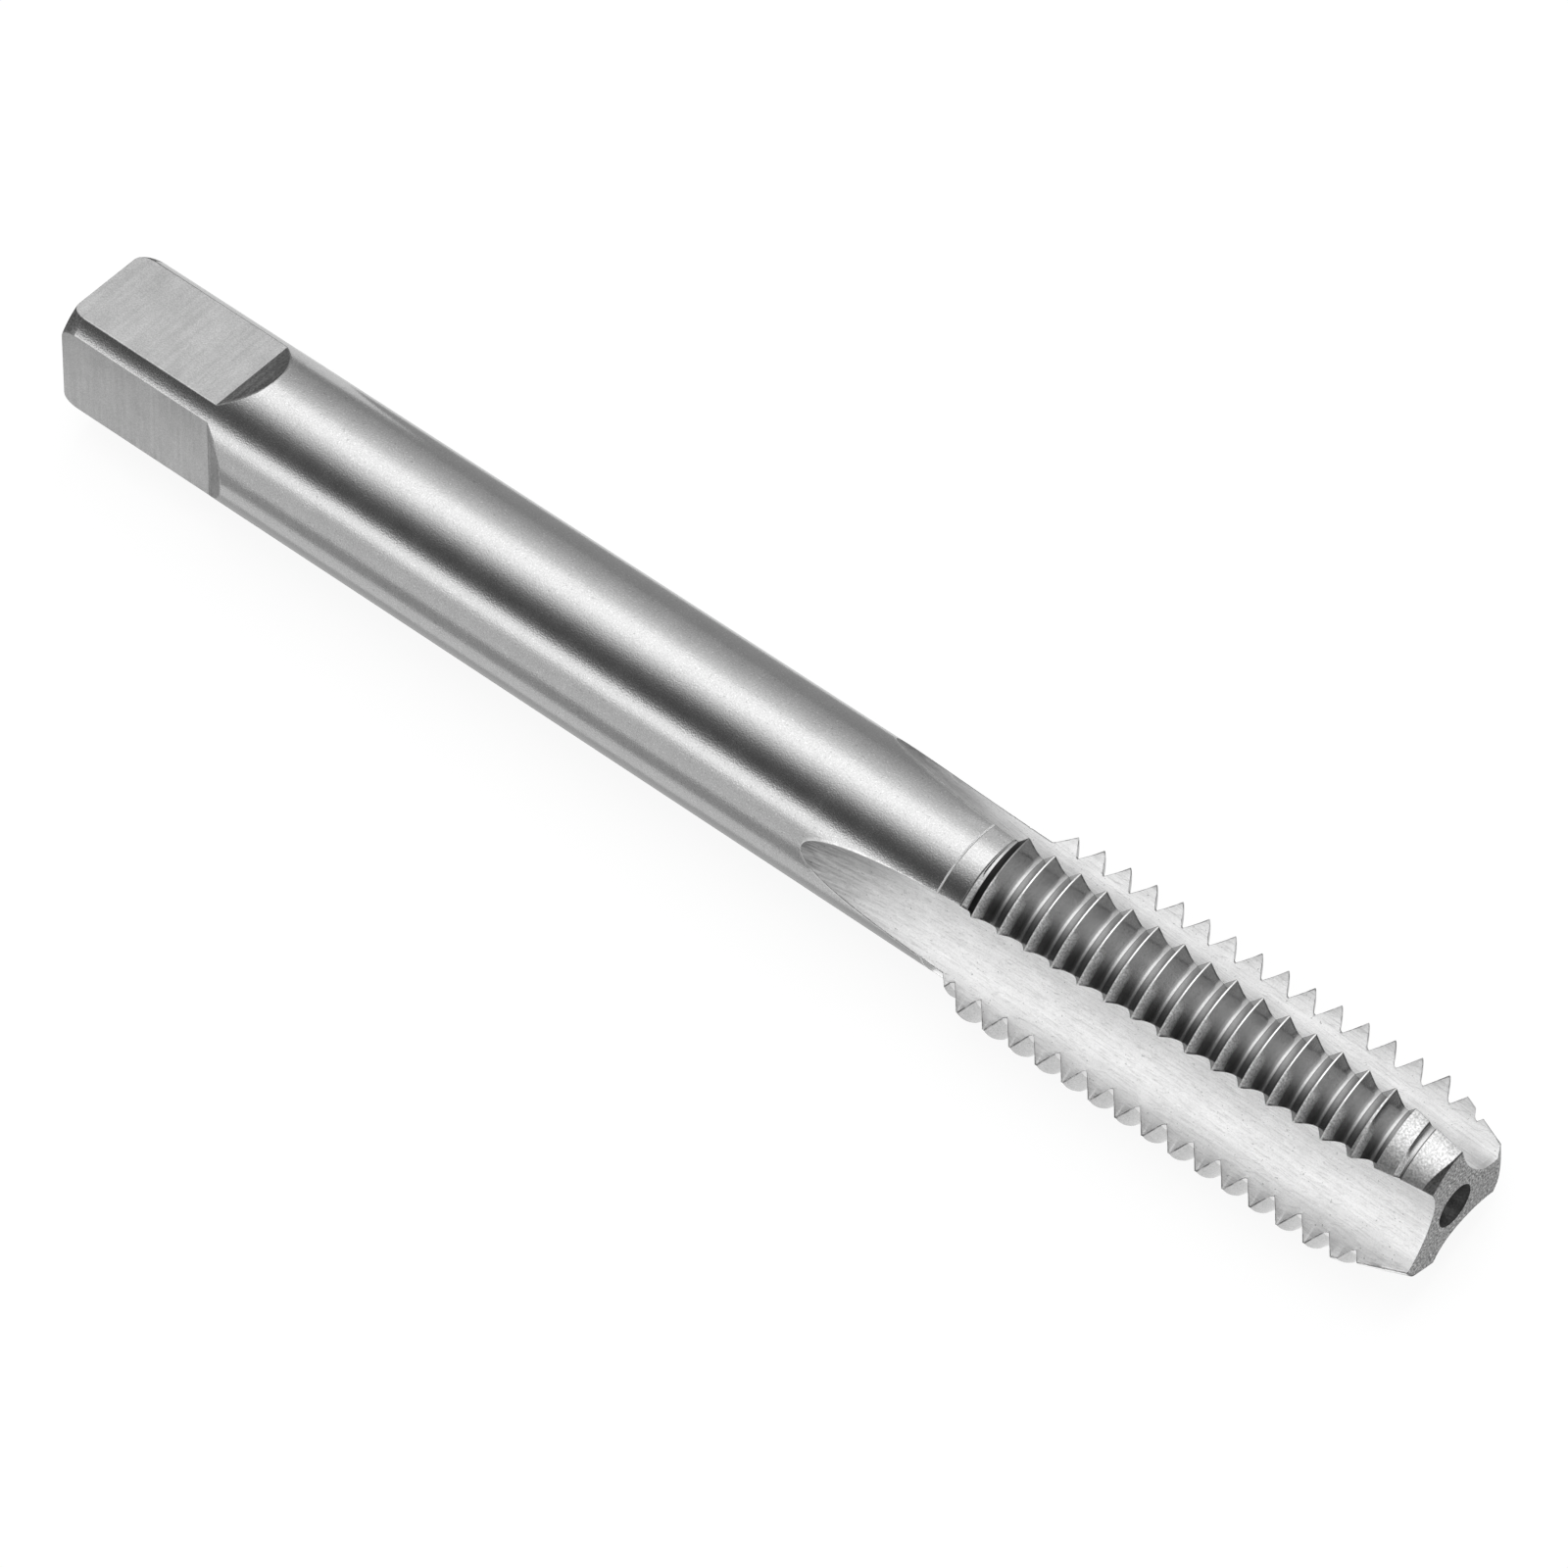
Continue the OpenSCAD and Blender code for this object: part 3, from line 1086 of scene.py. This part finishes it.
@dataclass(frozen=True)
class Wiring:
    """A node tree, and the few kinds of node that the finishes and the studio are wired from."""

    tree: bpy.types.NodeTree

    @classmethod
    def on(cls, owner: bpy.types.Material | bpy.types.World) -> "Wiring":
        """Switch on the nodes of a material or world, and clear them.

        Args:
            owner: the material or world.

        Returns:
            Its wiring.
        """
        owner.use_nodes = True
        owner.node_tree.nodes.clear()
        return cls(owner.node_tree)

    def put(self, kind: str, given: dict[str | int, Socket | float | tuple]) -> Node:
        """Add a node, and link or set the inputs that are given.

        Args:
            kind: the node's type.
            given: a socket to link or a value to set, for each input's name or number.

        Returns:
            The node.
        """
        made = self.tree.nodes.new(kind)
        for name, value in given.items():
            if isinstance(value, Socket):
                self.tree.links.new(value, made.inputs[name])
            else:
                made.inputs[name].default_value = value
        return made

    def sums(self, operation: str, first: Socket, second: Socket | float) -> Socket:
        """Combine two values by one operation of arithmetic.

        Args:
            operation: the operation's name.
            first: the first value.
            second: the second value.

        Returns:
            The result.
        """
        node = self.put("ShaderNodeMath", {0: first, 1: second})
        node.operation = operation
        return node.outputs["Value"]

    def spread(self, value: Socket, low: float, high: float,
               from_low: float = 0.3, from_high: float = 0.7) -> Socket:
        """Map a value's span, a noise's usual one if none is given, onto low to high."""
        return self.put("ShaderNodeMapRange", {
            "Value": value, "From Min": from_low, "From Max": from_high,
            "To Min": low, "To Max": high,
        }).outputs["Result"]

    def blend(self, amount: Socket, first: Socket | float, second: Socket | float) -> Socket:
        """Go over from one value to another by an amount."""
        node = self.put("ShaderNodeMix", {"Factor": amount, "A": first, "B": second})
        return node.outputs["Result"]

    def noise(self, where: Socket, scale: float | tuple[float, float, float], detail: float = 1.0,
              lean: float = 0.0) -> Socket:
        """Soft noise at a frequency per metre, the same all ways or one for each direction.

        Args:
            where: the coordinates.
            scale: one frequency, or three, which stretch the noise.
            detail: how many finer layers are added.
            lean: degrees by which stretched noise is turned about the Z axis.

        Returns:
            The noise, mostly from 0.3 to 0.7.
        """
        if isinstance(scale, tuple):
            for change in ({"Rotation": (0.0, 0.0, math.radians(lean))}, {"Scale": scale}):
                moved = self.put("ShaderNodeMapping", {"Vector": where, **change})
                where = moved.outputs["Vector"]
            scale = 1.0
        return self.put("ShaderNodeTexNoise",
                        {"Vector": where, "Scale": scale, "Detail": detail}).outputs["Fac"]

    def mark(self, name: str) -> Socket:
        """Read one of the net's marks.

        Args:
            name: the mark's name.

        Returns:
            Its strength.
        """
        node = self.put("ShaderNodeAttribute", {})
        node.attribute_name = name
        return node.outputs["Fac"]

    def shown_rays(self) -> Socket:
        """Say which rays show a surface to the eye, straight or in a mirror or through glass.

        Returns:
            1 where a camera, glossy or transmission ray looks, and 0 for other rays.
        """
        rays = self.put("ShaderNodeLightPath", {})
        seen = self.sums("MAXIMUM", rays.outputs["Is Camera Ray"], rays.outputs["Is Glossy Ray"])
        return self.sums("MAXIMUM", seen, rays.outputs["Is Transmission Ray"])


@dataclass(frozen=True)
class Fleck:
    """Small spots or strokes scattered over a finish.

    Attributes:
        grain: noise frequency per metre, or one for each direction where they are strokes.
        above: noise level over which they show, from 0.5, half the surface, to 1, none.
        tone: their tone, as a share of the finish's.
        lean: degrees by which strokes are turned from the tap's axis.
        softness: how far on both sides of that level they fade.
    """

    grain: float | tuple[float, float, float]
    above: float
    tone: float
    lean: float = 0.0
    softness: float = 0.03


# How far the gloss changes in the soft patches, then the grains of the ripples, with their lean in
# degrees, of the rubbed crests and of the patches of painted shade and glint along the corners.
GLOSS_CHANGE = 0.02
RIPPLES = (280.0, 8000.0, 8000.0)
RIPPLE_LEAN = -6.0
RUB_GRAIN = 11000.0
EDGE_PATCHES = 2500.0


@dataclass(frozen=True)
class SteelFinish:
    """One finish of the bare tool steel: its tone, its gloss, the marks that its tool left and the
    shade and glints painted on it.

    Attributes:
        name: the finish's name.
        tone: how light the bare metal is.
        roughness: how dull it is.
        anisotropy: how far its grinding lines draw the light out.
        lines_along: whether they run along the tap and not round it.
        line_grain: their noise frequency per metre along X, Y and Z.
        line_depth: their depth in millimetres.
        line_tone: how far they change the tone.
        grit: frequency per metre of the fine grain, and how far it changes the tone.
        grit_depth: the fine grain's depth in millimetres.
        cloud: frequency per metre of soft patches, and how far they change the tone.
        flecks: spots and strokes.
        glance_tone: share of the light that is kept at a glancing view.
        painted_edge_tone: share of the tone along the lands' corners, painted shade below 1 and a
            glint above.
        worn_tone: tone of the worn crests, where there are any.
        worn_roughness: how dull they are.
        painted_shade_strength: how far the painted shade darkens the grooves and the first crest
            where it is strongest.
        ripple_tone: share of the tone in the dark ripples where a flute runs out.
    """

    name: str
    tone: float
    roughness: float
    anisotropy: float = 0.0
    lines_along: bool = False
    line_grain: tuple[float, float, float] = (9000.0, 300.0, 300.0)
    line_depth: float = 0.0
    line_tone: float = 0.05
    grit: tuple[float, float] = (14000.0, 0.08)
    grit_depth: float = 0.0
    cloud: tuple[float, float] = (700.0, 0.06)
    flecks: tuple[Fleck, ...] = ()
    glance_tone: float = 1.0
    painted_edge_tone: float = 1.0
    worn_tone: float = 0.0
    worn_roughness: float = 0.45
    painted_shade_strength: float = 0.0
    ripple_tone: float = 1.0

    def material(self) -> bpy.types.Material:
        """Build the procedural material, whose lines, grain and flecks read Object coordinates.

        Returns:
            The material.
        """
        made = bpy.data.materials.new(f"steel_{self.name}")
        wire = Wiring.on(made)
        where = wire.put("ShaderNodeTexCoord", {}).outputs["Object"]
        lines = wire.noise(where, self.line_grain, 3.0)
        grit = wire.noise(where, self.grit[0])
        clouds = wire.noise(where, self.cloud[0], 2.0)
        tone, gloss = self._dress(wire, where, lines, grit, clouds)
        colour = wire.put("ShaderNodeCombineColor", dict.fromkeys(("Red", "Green", "Blue"), tone))
        shader = wire.put("ShaderNodeBsdfPrincipled", {
            "Base Color": colour.outputs["Color"], "Roughness": gloss, "Metallic": 1.0,
            "Specular Tint": grey(self.glance_tone), "Anisotropic": self.anisotropy,
            "Anisotropic Rotation": 0.25 if self.lines_along else 0.0,
        })
        for height, depth in ((lines, self.line_depth), (grit, self.grit_depth)):
            if depth > 0.0:
                given = {"Strength": 1.0, "Distance": depth * MM, "Height": height}
                given.update({"Normal": link.from_socket for link in shader.inputs["Normal"].links})
                bump = wire.put("ShaderNodeBump", given)
                wire.tree.links.new(bump.outputs["Normal"], shader.inputs["Normal"])
        if self.anisotropy > 0.0:
            tangent = wire.put("ShaderNodeTangent", {})
            tangent.direction_type, tangent.uv_map = "UV_MAP", "grain"
            wire.tree.links.new(tangent.outputs["Tangent"], shader.inputs["Tangent"])
        wire.put("ShaderNodeOutputMaterial", {"Surface": shader.outputs["BSDF"]})
        return made

    def _dress(self, wire: Wiring, where: Socket, lines: Socket, grit: Socket,
               clouds: Socket) -> tuple[Socket, Socket]:
        """Work out the tone and the roughness, layer by layer.

        Args:
            wire: the material's nodes.
            where: Object coordinates.
            lines: noise of the grinding lines.
            grit: noise of the fine grain.
            clouds: noise of the soft patches.

        Returns:
            The tone and the roughness.
        """
        low, high = 1.0 - self.line_tone, 1.0 + self.line_tone
        tone = wire.spread(lines, self.tone * low, self.tone * high)
        for layer, change in ((clouds, self.cloud[1]), (grit, self.grit[1])):
            tone = wire.sums("MULTIPLY", tone, wire.spread(layer, 1.0 - change, 1.0 + change))
        for fleck in self.flecks:
            spots = wire.noise(where, fleck.grain, 1.0, fleck.lean)
            shown = (fleck.above - fleck.softness, fleck.above + fleck.softness)
            tone = wire.sums("MULTIPLY", tone, wire.spread(spots, 1.0, fleck.tone, *shown))
        gloss = wire.spread(clouds, self.roughness - GLOSS_CHANGE, self.roughness + GLOSS_CHANGE)
        if self.ripple_tone != 1.0:
            waves = wire.spread(wire.noise(where, RIPPLES, 2.0, RIPPLE_LEAN),
                                0.7 * self.ripple_tone, 1.3 * self.ripple_tone, 0.36, 0.64)
            rippled = wire.sums("MULTIPLY", tone, waves)
            tone = wire.blend(wire.mark("rippled"), tone, rippled)
        # Painted shade darkens the grooves near the cutting corners and the first crest.
        if self.painted_shade_strength > 0.0:
            painted_shade = wire.spread(wire.mark("painted_shade"), 1.0, 1.0 - self.painted_shade_strength, 0.0, 1.0)
            tone = wire.sums("MULTIPLY", tone, painted_shade)
        if self.worn_tone > 0.0:
            worn = wire.mark("worn")
            rubbed = wire.spread(wire.noise(where, RUB_GRAIN, 2.0),
                                 0.65 * self.worn_tone, 1.35 * self.worn_tone)
            tone = wire.blend(worn, tone, rubbed)
            gloss = wire.blend(worn, gloss, self.worn_roughness)
        # Painted dark lines along the land corners, and a painted glint where the share is over 1.
        if self.painted_edge_tone != 1.0:
            patchy = wire.spread(wire.noise(where, EDGE_PATCHES), 0.35, 1.0, 0.4, 0.55)
            edge = wire.sums("MULTIPLY", wire.mark("edge"), patchy)
            tone = wire.blend(edge, tone, self.painted_edge_tone * self.tone)
        return tone, gloss


# Grinding and milling lines: noise frequencies per metre along X, Y and Z.
ROUND_LINES = (14000.0, 260.0, 260.0)
LONG_LINES = (160.0, 7000.0, 7000.0)
WHEEL_BANDS = (3800.0, 250.0, 250.0)

PALE_SPECKS = Fleck(11000.0, 0.68, 1.28)
DARK_SPECKS = Fleck(11000.0, 0.7, 0.7)
SCRATCHES = Fleck((500.0, 15000.0, 15000.0), 0.6, 0.88, 4.0)
CROSS_SCRATCHES = Fleck((900.0, 15000.0, 15000.0), 0.66, 0.86, -20.0)
PITS = Fleck(7000.0, 0.74, 0.6)
FAINT_PITS = Fleck(6000.0, 0.72, 0.78)

# The flank, root and crest finishes darken by painted shade in the grooves near the cutting corners
# and on the first crest.
FINISHES: dict[Region, SteelFinish] = {
    # The edge tones paint a glint on the shank beside the flutes, and dark lines along the land
    # corners of the flutes and flanks.
    Region.SHANK: SteelFinish("shank", 0.46, 0.17, 0.6, line_grain=ROUND_LINES, line_depth=0.0006,
                              line_tone=0.03, grit=(13000.0, 0.1), grit_depth=0.005,
                              cloud=(900.0, 0.03), flecks=(PALE_SPECKS, FAINT_PITS), painted_edge_tone=1.5),
    Region.FLAT: SteelFinish("flat", 0.47, 0.36, 0.4, line_grain=WHEEL_BANDS, line_depth=0.003,
                             line_tone=0.08, grit=(15000.0, 0.14), grit_depth=0.006),
    Region.SHOULDER: SteelFinish("shoulder", 0.3, 0.36, 0.3, line_grain=WHEEL_BANDS,
                                 line_depth=0.006, line_tone=0.3, grit=(9000.0, 0.35)),
    Region.RIM: SteelFinish("rim", 0.25, 0.35, grit=(9000.0, 0.35)),
    Region.FLUTE: SteelFinish("flute", 0.9, 0.42, 0.6, lines_along=True, line_grain=LONG_LINES,
                              line_depth=0.003, line_tone=0.07, grit=(13000.0, 0.06),
                              flecks=(SCRATCHES, CROSS_SCRATCHES, PITS), painted_edge_tone=0.2,
                              ripple_tone=0.33),
    Region.FLANK: SteelFinish("flank", 0.36, 0.2, 0.3, line_grain=ROUND_LINES, line_depth=0.001,
                              grit=(12000.0, 0.12), grit_depth=0.004, flecks=(DARK_SPECKS,),
                              glance_tone=0.85, painted_edge_tone=0.25, worn_tone=0.74, painted_shade_strength=0.9),
    Region.ROOT: SteelFinish("root", 0.45, 0.22, line_grain=ROUND_LINES, painted_shade_strength=0.9),
    Region.CREST: SteelFinish("crest", 0.75, 0.22, line_grain=ROUND_LINES, grit=(12000.0, 0.1),
                              worn_tone=0.74, painted_shade_strength=0.9),
    Region.LEAD: SteelFinish("lead", 0.52, 0.3, line_grain=ROUND_LINES, grit=(10000.0, 0.28),
                             grit_depth=0.005, flecks=(PALE_SPECKS,)),
    Region.END_FACE: SteelFinish("end_face", 0.45, 0.45, grit=(8000.0, 0.6), grit_depth=0.012,
                                 flecks=(Fleck(7500.0, 0.64, 1.5), Fleck(6500.0, 0.63, 0.5))),
    # The centre holes' steel is painted near black as the shade in the recess.
    Region.CENTRE: SteelFinish("centre", 0.06, 0.5, grit=(9000.0, 0.3)),
    Region.SCRIBED: SteelFinish("scribed", 0.72, 0.75),
    # The first groove's rising flank: the steel painted near black as shade.
    Region.FIRST_FLANK: SteelFinish("first_flank_painted_shade", 0.07, 0.3, line_grain=ROUND_LINES,
                                    grit=(11000.0, 0.3), glance_tone=0.3),
}


@dataclass
class ThreadTap:
    """The tap itself: its net, dressed with one finish for each region."""

    net: TapNet = field(default_factory=TapNet)

    def build(self) -> bpy.types.Object:
        """Make the surface, give it its finishes and let it stand for the solid tap.

        Returns:
            The tap's object.
        """
        made = self.net.build()
        for region in Region:
            made.data.materials.append(FINISHES[region].material())
        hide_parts("tap")
        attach(made, "root")
        return made


@dataclass(frozen=True)
class GreyCard:
    """A grey card held level beside or over the tap, which shows only in the steel, in metres.

    Attributes:
        name: the card's name.
        near: lower edge across the tap, along Y.
        far: upper edge along Y.
        tone: how bright it shows, where 1 is white.
        start: lower edge along X.
        stop: upper edge along X.
        height: height over the floor.
    """

    name: str
    near: float
    far: float
    tone: float
    start: float = -0.5
    stop: float = 0.5
    height: float = 0.0002

    def build(self) -> bpy.types.Object:
        """Make the card, hidden from the camera and from every ray but a glossy one.

        Returns:
            The card's object.
        """
        made = flat_sheet(self.name, (self.start, self.stop), (self.near, self.far), self.height)
        paint = bpy.data.materials.new(self.name)
        wire = Wiring.on(paint)
        shine = wire.put("ShaderNodeEmission", {"Color": grey(self.tone)})
        wire.put("ShaderNodeOutputMaterial", {"Surface": shine.outputs["Emission"]})
        paint.cycles.emission_sampling = "NONE"
        made.data.materials.append(paint)
        made.visible_camera = made.visible_diffuse = made.visible_shadow = False
        made.visible_transmission = made.visible_volume_scatter = False
        return made


def flat_sheet(name: str, along: tuple[float, float], across: tuple[float, float],
               height: float) -> bpy.types.Object:
    """Make a level rectangle that belongs to the stage.

    Args:
        name: the sheet's name.
        along: its two edges along X, in metres.
        across: its two edges along Y.
        height: its height over the ground.

    Returns:
        The sheet's object.
    """
    corners = ((along[0], across[0]), (along[1], across[0]), (along[1], across[1]),
               (along[0], across[1]))
    data = bpy.data.meshes.new(name)
    data.from_pydata([(x, y, height) for x, y in corners], [], [(0, 1, 2, 3)])
    made = place_object(name, data)
    return made


@dataclass(frozen=True)
class Studio:
    """A plain pale floor, a soft tent of light with dark gaps between its panels, and one lamp.

    Attributes:
        floor_half: half the floor's width in metres.
        floor_tone: the floor's own colour.
        floor_white: share of plain white in what is seen of the floor.
        plain_level: level at which the world lights all that doesn't shine.
        tent: brightness of the tent along its arch, as pairs of an angle about the tap's axis, from
            +Y over the top to -Y, and a level where 1 is white.
        square_end: level of the tent's end on the square's side.
        square_end_span: lean along X at which that end begins, and where it is whole.
        tip_end: levels of the tent's end on the tip's side, at the horizon and high up.
        tip_end_span: lean along X at which that end begins, and where it is whole.
        tip_end_heights: rise at which its two levels hold.
        cards: grey cards beside, under and over the tap.
        lamp_place: the lamp's middle in metres. It looks at the tap's middle on the ground.
        lamp_size: its length and width in metres.
        lamp_watts: its power.
    """

    floor_half: float = 1.5
    floor_tone: float = 0.86
    floor_white: float = 0.9
    plain_level: float = 0.8
    tent: tuple[tuple[float, float], ...] = (
        (-2.0, 0.48), (20.0, 0.78), (40.0, 1.3), (60.0, 2.0), (76.0, 1.5), (92.0, 0.62),
        (106.0, 0.17), (118.0, 0.13), (128.0, 0.33), (138.0, 1.5), (147.0, 1.8), (158.0, 1.0),
        (166.0, 0.85), (182.0, 0.95),
    )
    square_end: float = 0.35
    square_end_span: tuple[float, float] = (-0.52, -0.66)
    tip_end: tuple[float, float] = (0.08, 0.45)
    tip_end_span: tuple[float, float] = (0.6, 0.95)
    tip_end_heights: tuple[float, float] = (0.1, 0.5)
    cards: tuple[GreyCard, ...] = (
        GreyCard("card_behind", 0.0085, 0.5, 0.42),
        GreyCard("card_under_back", 0.0035, 0.0085, 0.85),
        # Painted shadow: a dark card for the floor's shade under the tap, as the steel shows it.
        GreyCard("card_under", -0.0036, 0.0035, 0.15),
        GreyCard("card_under_front", -0.0067, -0.0036, 0.55, stop=0.012),
        GreyCard("card_teeth", -0.0067, -0.0036, 1.4, start=0.012),
        GreyCard("card_front", -0.0125, -0.0067, 0.9),
        GreyCard("card_front_dark", -0.04, -0.0125, 0.47),
        GreyCard("card_front_far", -0.5, -0.04, 0.9),
        GreyCard("card_square_end", -0.0067, 0.03, 0.08, stop=-0.044, height=0.0004),
        GreyCard("card_behind_square", 0.0085, 0.02, 0.9, start=-0.044, stop=-0.031,
                 height=0.0004),
        GreyCard("card_tip", -0.008, 0.012, 0.6, start=0.0402, stop=0.056, height=0.0004),
        GreyCard("card_tip_end", -0.03, 0.03, 0.08, start=0.056, height=0.0004),
        GreyCard("flag_over_far_flute", 0.0043, 0.0105, 0.98, start=0.009, stop=0.042,
                 height=0.0097),
    )
    lamp_place: tuple[float, float, float] = (0.0, 0.2, 0.6)
    lamp_size: tuple[float, float] = (0.6, 0.3)
    lamp_watts: float = 3.0

    def build(self) -> None:
        """Make the floor, the tent, the cards and the lamp."""
        self._floor()
        self._tent()
        for card in self.cards:
            card.build()
        self._lamp()

    def _floor(self) -> None:
        """Lay a flat sheet on the ground, shown white but keeping a light shadow."""
        edges = (-self.floor_half, self.floor_half)
        made = flat_sheet("floor", edges, edges, 0.0)
        paint = bpy.data.materials.new("pale_floor")
        wire = Wiring.on(paint)
        plain = wire.put("ShaderNodeBsdfDiffuse", {"Color": grey(self.floor_tone)})
        white = wire.put("ShaderNodeEmission", {})
        share = wire.sums("MULTIPLY", wire.shown_rays(), self.floor_white)
        mix = wire.put("ShaderNodeMixShader", {
            "Fac": share, 1: plain.outputs["BSDF"], 2: white.outputs["Emission"]})
        wire.put("ShaderNodeOutputMaterial", {"Surface": mix.outputs["Shader"]})
        made.data.materials.append(paint)

    def _tent(self) -> None:
        """Show white to the camera, panels and gaps in the steel, and a plain level to the rest.

        The level follows the angle of a direction about the X axis, whose tangent is Z over Y, and
        goes over to an end's level as the direction turns along X.
        """
        world = bpy.data.worlds.new("light_tent")
        bpy.context.scene.world = world
        wire = Wiring.on(world)
        world.cycles.sampling_method = "NONE"
        towards = wire.put("ShaderNodeTexCoord", {}).outputs["Generated"]
        split = wire.put("ShaderNodeSeparateXYZ", {"Vector": towards})
        level = self._arch(wire, split)
        tip_level = wire.spread(split.outputs["Z"], *self.tip_end, *self.tip_end_heights)
        for end, span in ((self.square_end, self.square_end_span), (tip_level, self.tip_end_span)):
            level = wire.blend(wire.spread(split.outputs["X"], 0.0, 1.0, *span), level, end)
        rays = wire.put("ShaderNodeLightPath", {})
        level = wire.blend(rays.outputs["Is Camera Ray"], level, 1.0)
        level = wire.blend(wire.shown_rays(), self.plain_level, level)
        light = wire.put("ShaderNodeBackground", {"Color": grey(1.0), "Strength": level})
        wire.put("ShaderNodeOutputWorld", {"Surface": light.outputs["Background"]})

    def _arch(self, wire: Wiring, split: Node) -> Socket:
        """Wire the tent's level along its arch, as a smooth curve through its stops.

        Args:
            wire: the world's nodes.
            split: the direction's X, Y and Z.

        Returns:
            The level.
        """
        angle = wire.sums("ARCTAN2", split.outputs["Z"], split.outputs["Y"])
        first, last = self.tent[0][0], self.tent[-1][0]
        brightest = max(level for _, level in self.tent)
        share = wire.spread(angle, 0.0, 1.0, math.radians(first), math.radians(last))
        panels = wire.put("ShaderNodeFloatCurve", {"Value": share})
        curve = panels.mapping.curves[0]
        spots = [((stop - first) / (last - first), level / brightest) for stop, level in self.tent]
        curve.points[0].location, curve.points[-1].location = spots[0], spots[-1]
        for spot in spots[1:-1]:
            curve.points.new(*spot)
        panels.mapping.update()
        return wire.sums("MULTIPLY", panels.outputs["Value"], brightest)

    def _lamp(self) -> None:
        """Hang one soft lamp over the tap, which lays its shadow on the floor."""
        lamp = bpy.data.lights.new("soft_lamp", "AREA")
        lamp.shape = "RECTANGLE"
        lamp.size, lamp.size_y = self.lamp_size
        lamp.energy = self.lamp_watts
        made = place_object("soft_lamp", lamp)
        made.location = self.lamp_place
        made.rotation_euler = Vector(self.lamp_place).to_track_quat("Z", "X").to_euler()
        made.visible_glossy = False


@dataclass(frozen=True)
class Viewpoint:
    """The photograph's camera: where it looks from, how far it is rolled and its long lens.

    Attributes:
        azimuth: degrees round from -Y towards +X.
        elevation: degrees over the ground.
        roll: degrees by which the picture is turned about the view line.
        distance: metres from the aim point.
        aim: point in metres on the view line.
        lens: focal length in millimetres.
        sensor: the sensor's width in millimetres.
        clip: nearest and furthest distance shown, in metres.
    """

    azimuth: float = 59.85
    elevation: float = 62.1475
    roll: float = 23.5514
    distance: float = 0.42462
    aim: tuple[float, float, float] = (0.001747, -0.00038, 0.003295)
    lens: float = 214.247
    sensor: float = 36.0
    clip: tuple[float, float] = (0.01, 20.0)

    def build(self) -> bpy.types.Object:
        """Place the camera and make it the scene's own.

        Returns:
            The camera's object.
        """
        azimuth, elevation = math.radians(self.azimuth), math.radians(self.elevation)
        back = Vector((math.sin(azimuth) * math.cos(elevation),
                       -math.cos(azimuth) * math.cos(elevation), math.sin(elevation)))
        lens = bpy.data.cameras.new("photo_camera")
        lens.sensor_width, lens.lens = self.sensor, self.lens
        lens.clip_start, lens.clip_end = self.clip
        made = place_object("photo_camera", lens)
        level = back.to_track_quat("Z", "Y").to_matrix().to_4x4()
        turned = level @ Matrix.Rotation(-math.radians(self.roll), 4, "Z")
        made.matrix_world = Matrix.Translation(Vector(self.aim) + back * self.distance) @ turned
        bpy.context.scene.camera = made
        return made


def main() -> None:
    """Build the camera, the studio and the tap, and report the tap."""
    logging.basicConfig(level=logging.INFO, format="%(name)s: %(message)s")
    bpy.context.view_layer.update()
    Viewpoint().build()
    Studio().build()
    bpy.context.scene.view_settings.view_transform = "Standard"
    tap = ThreadTap().build()
    LOG.info("%s: %d faces in %d finishes", tap.name, len(tap.data.polygons), len(Region))
    bpy.context.view_layer.update()


if __name__ == "__main__":
    main()
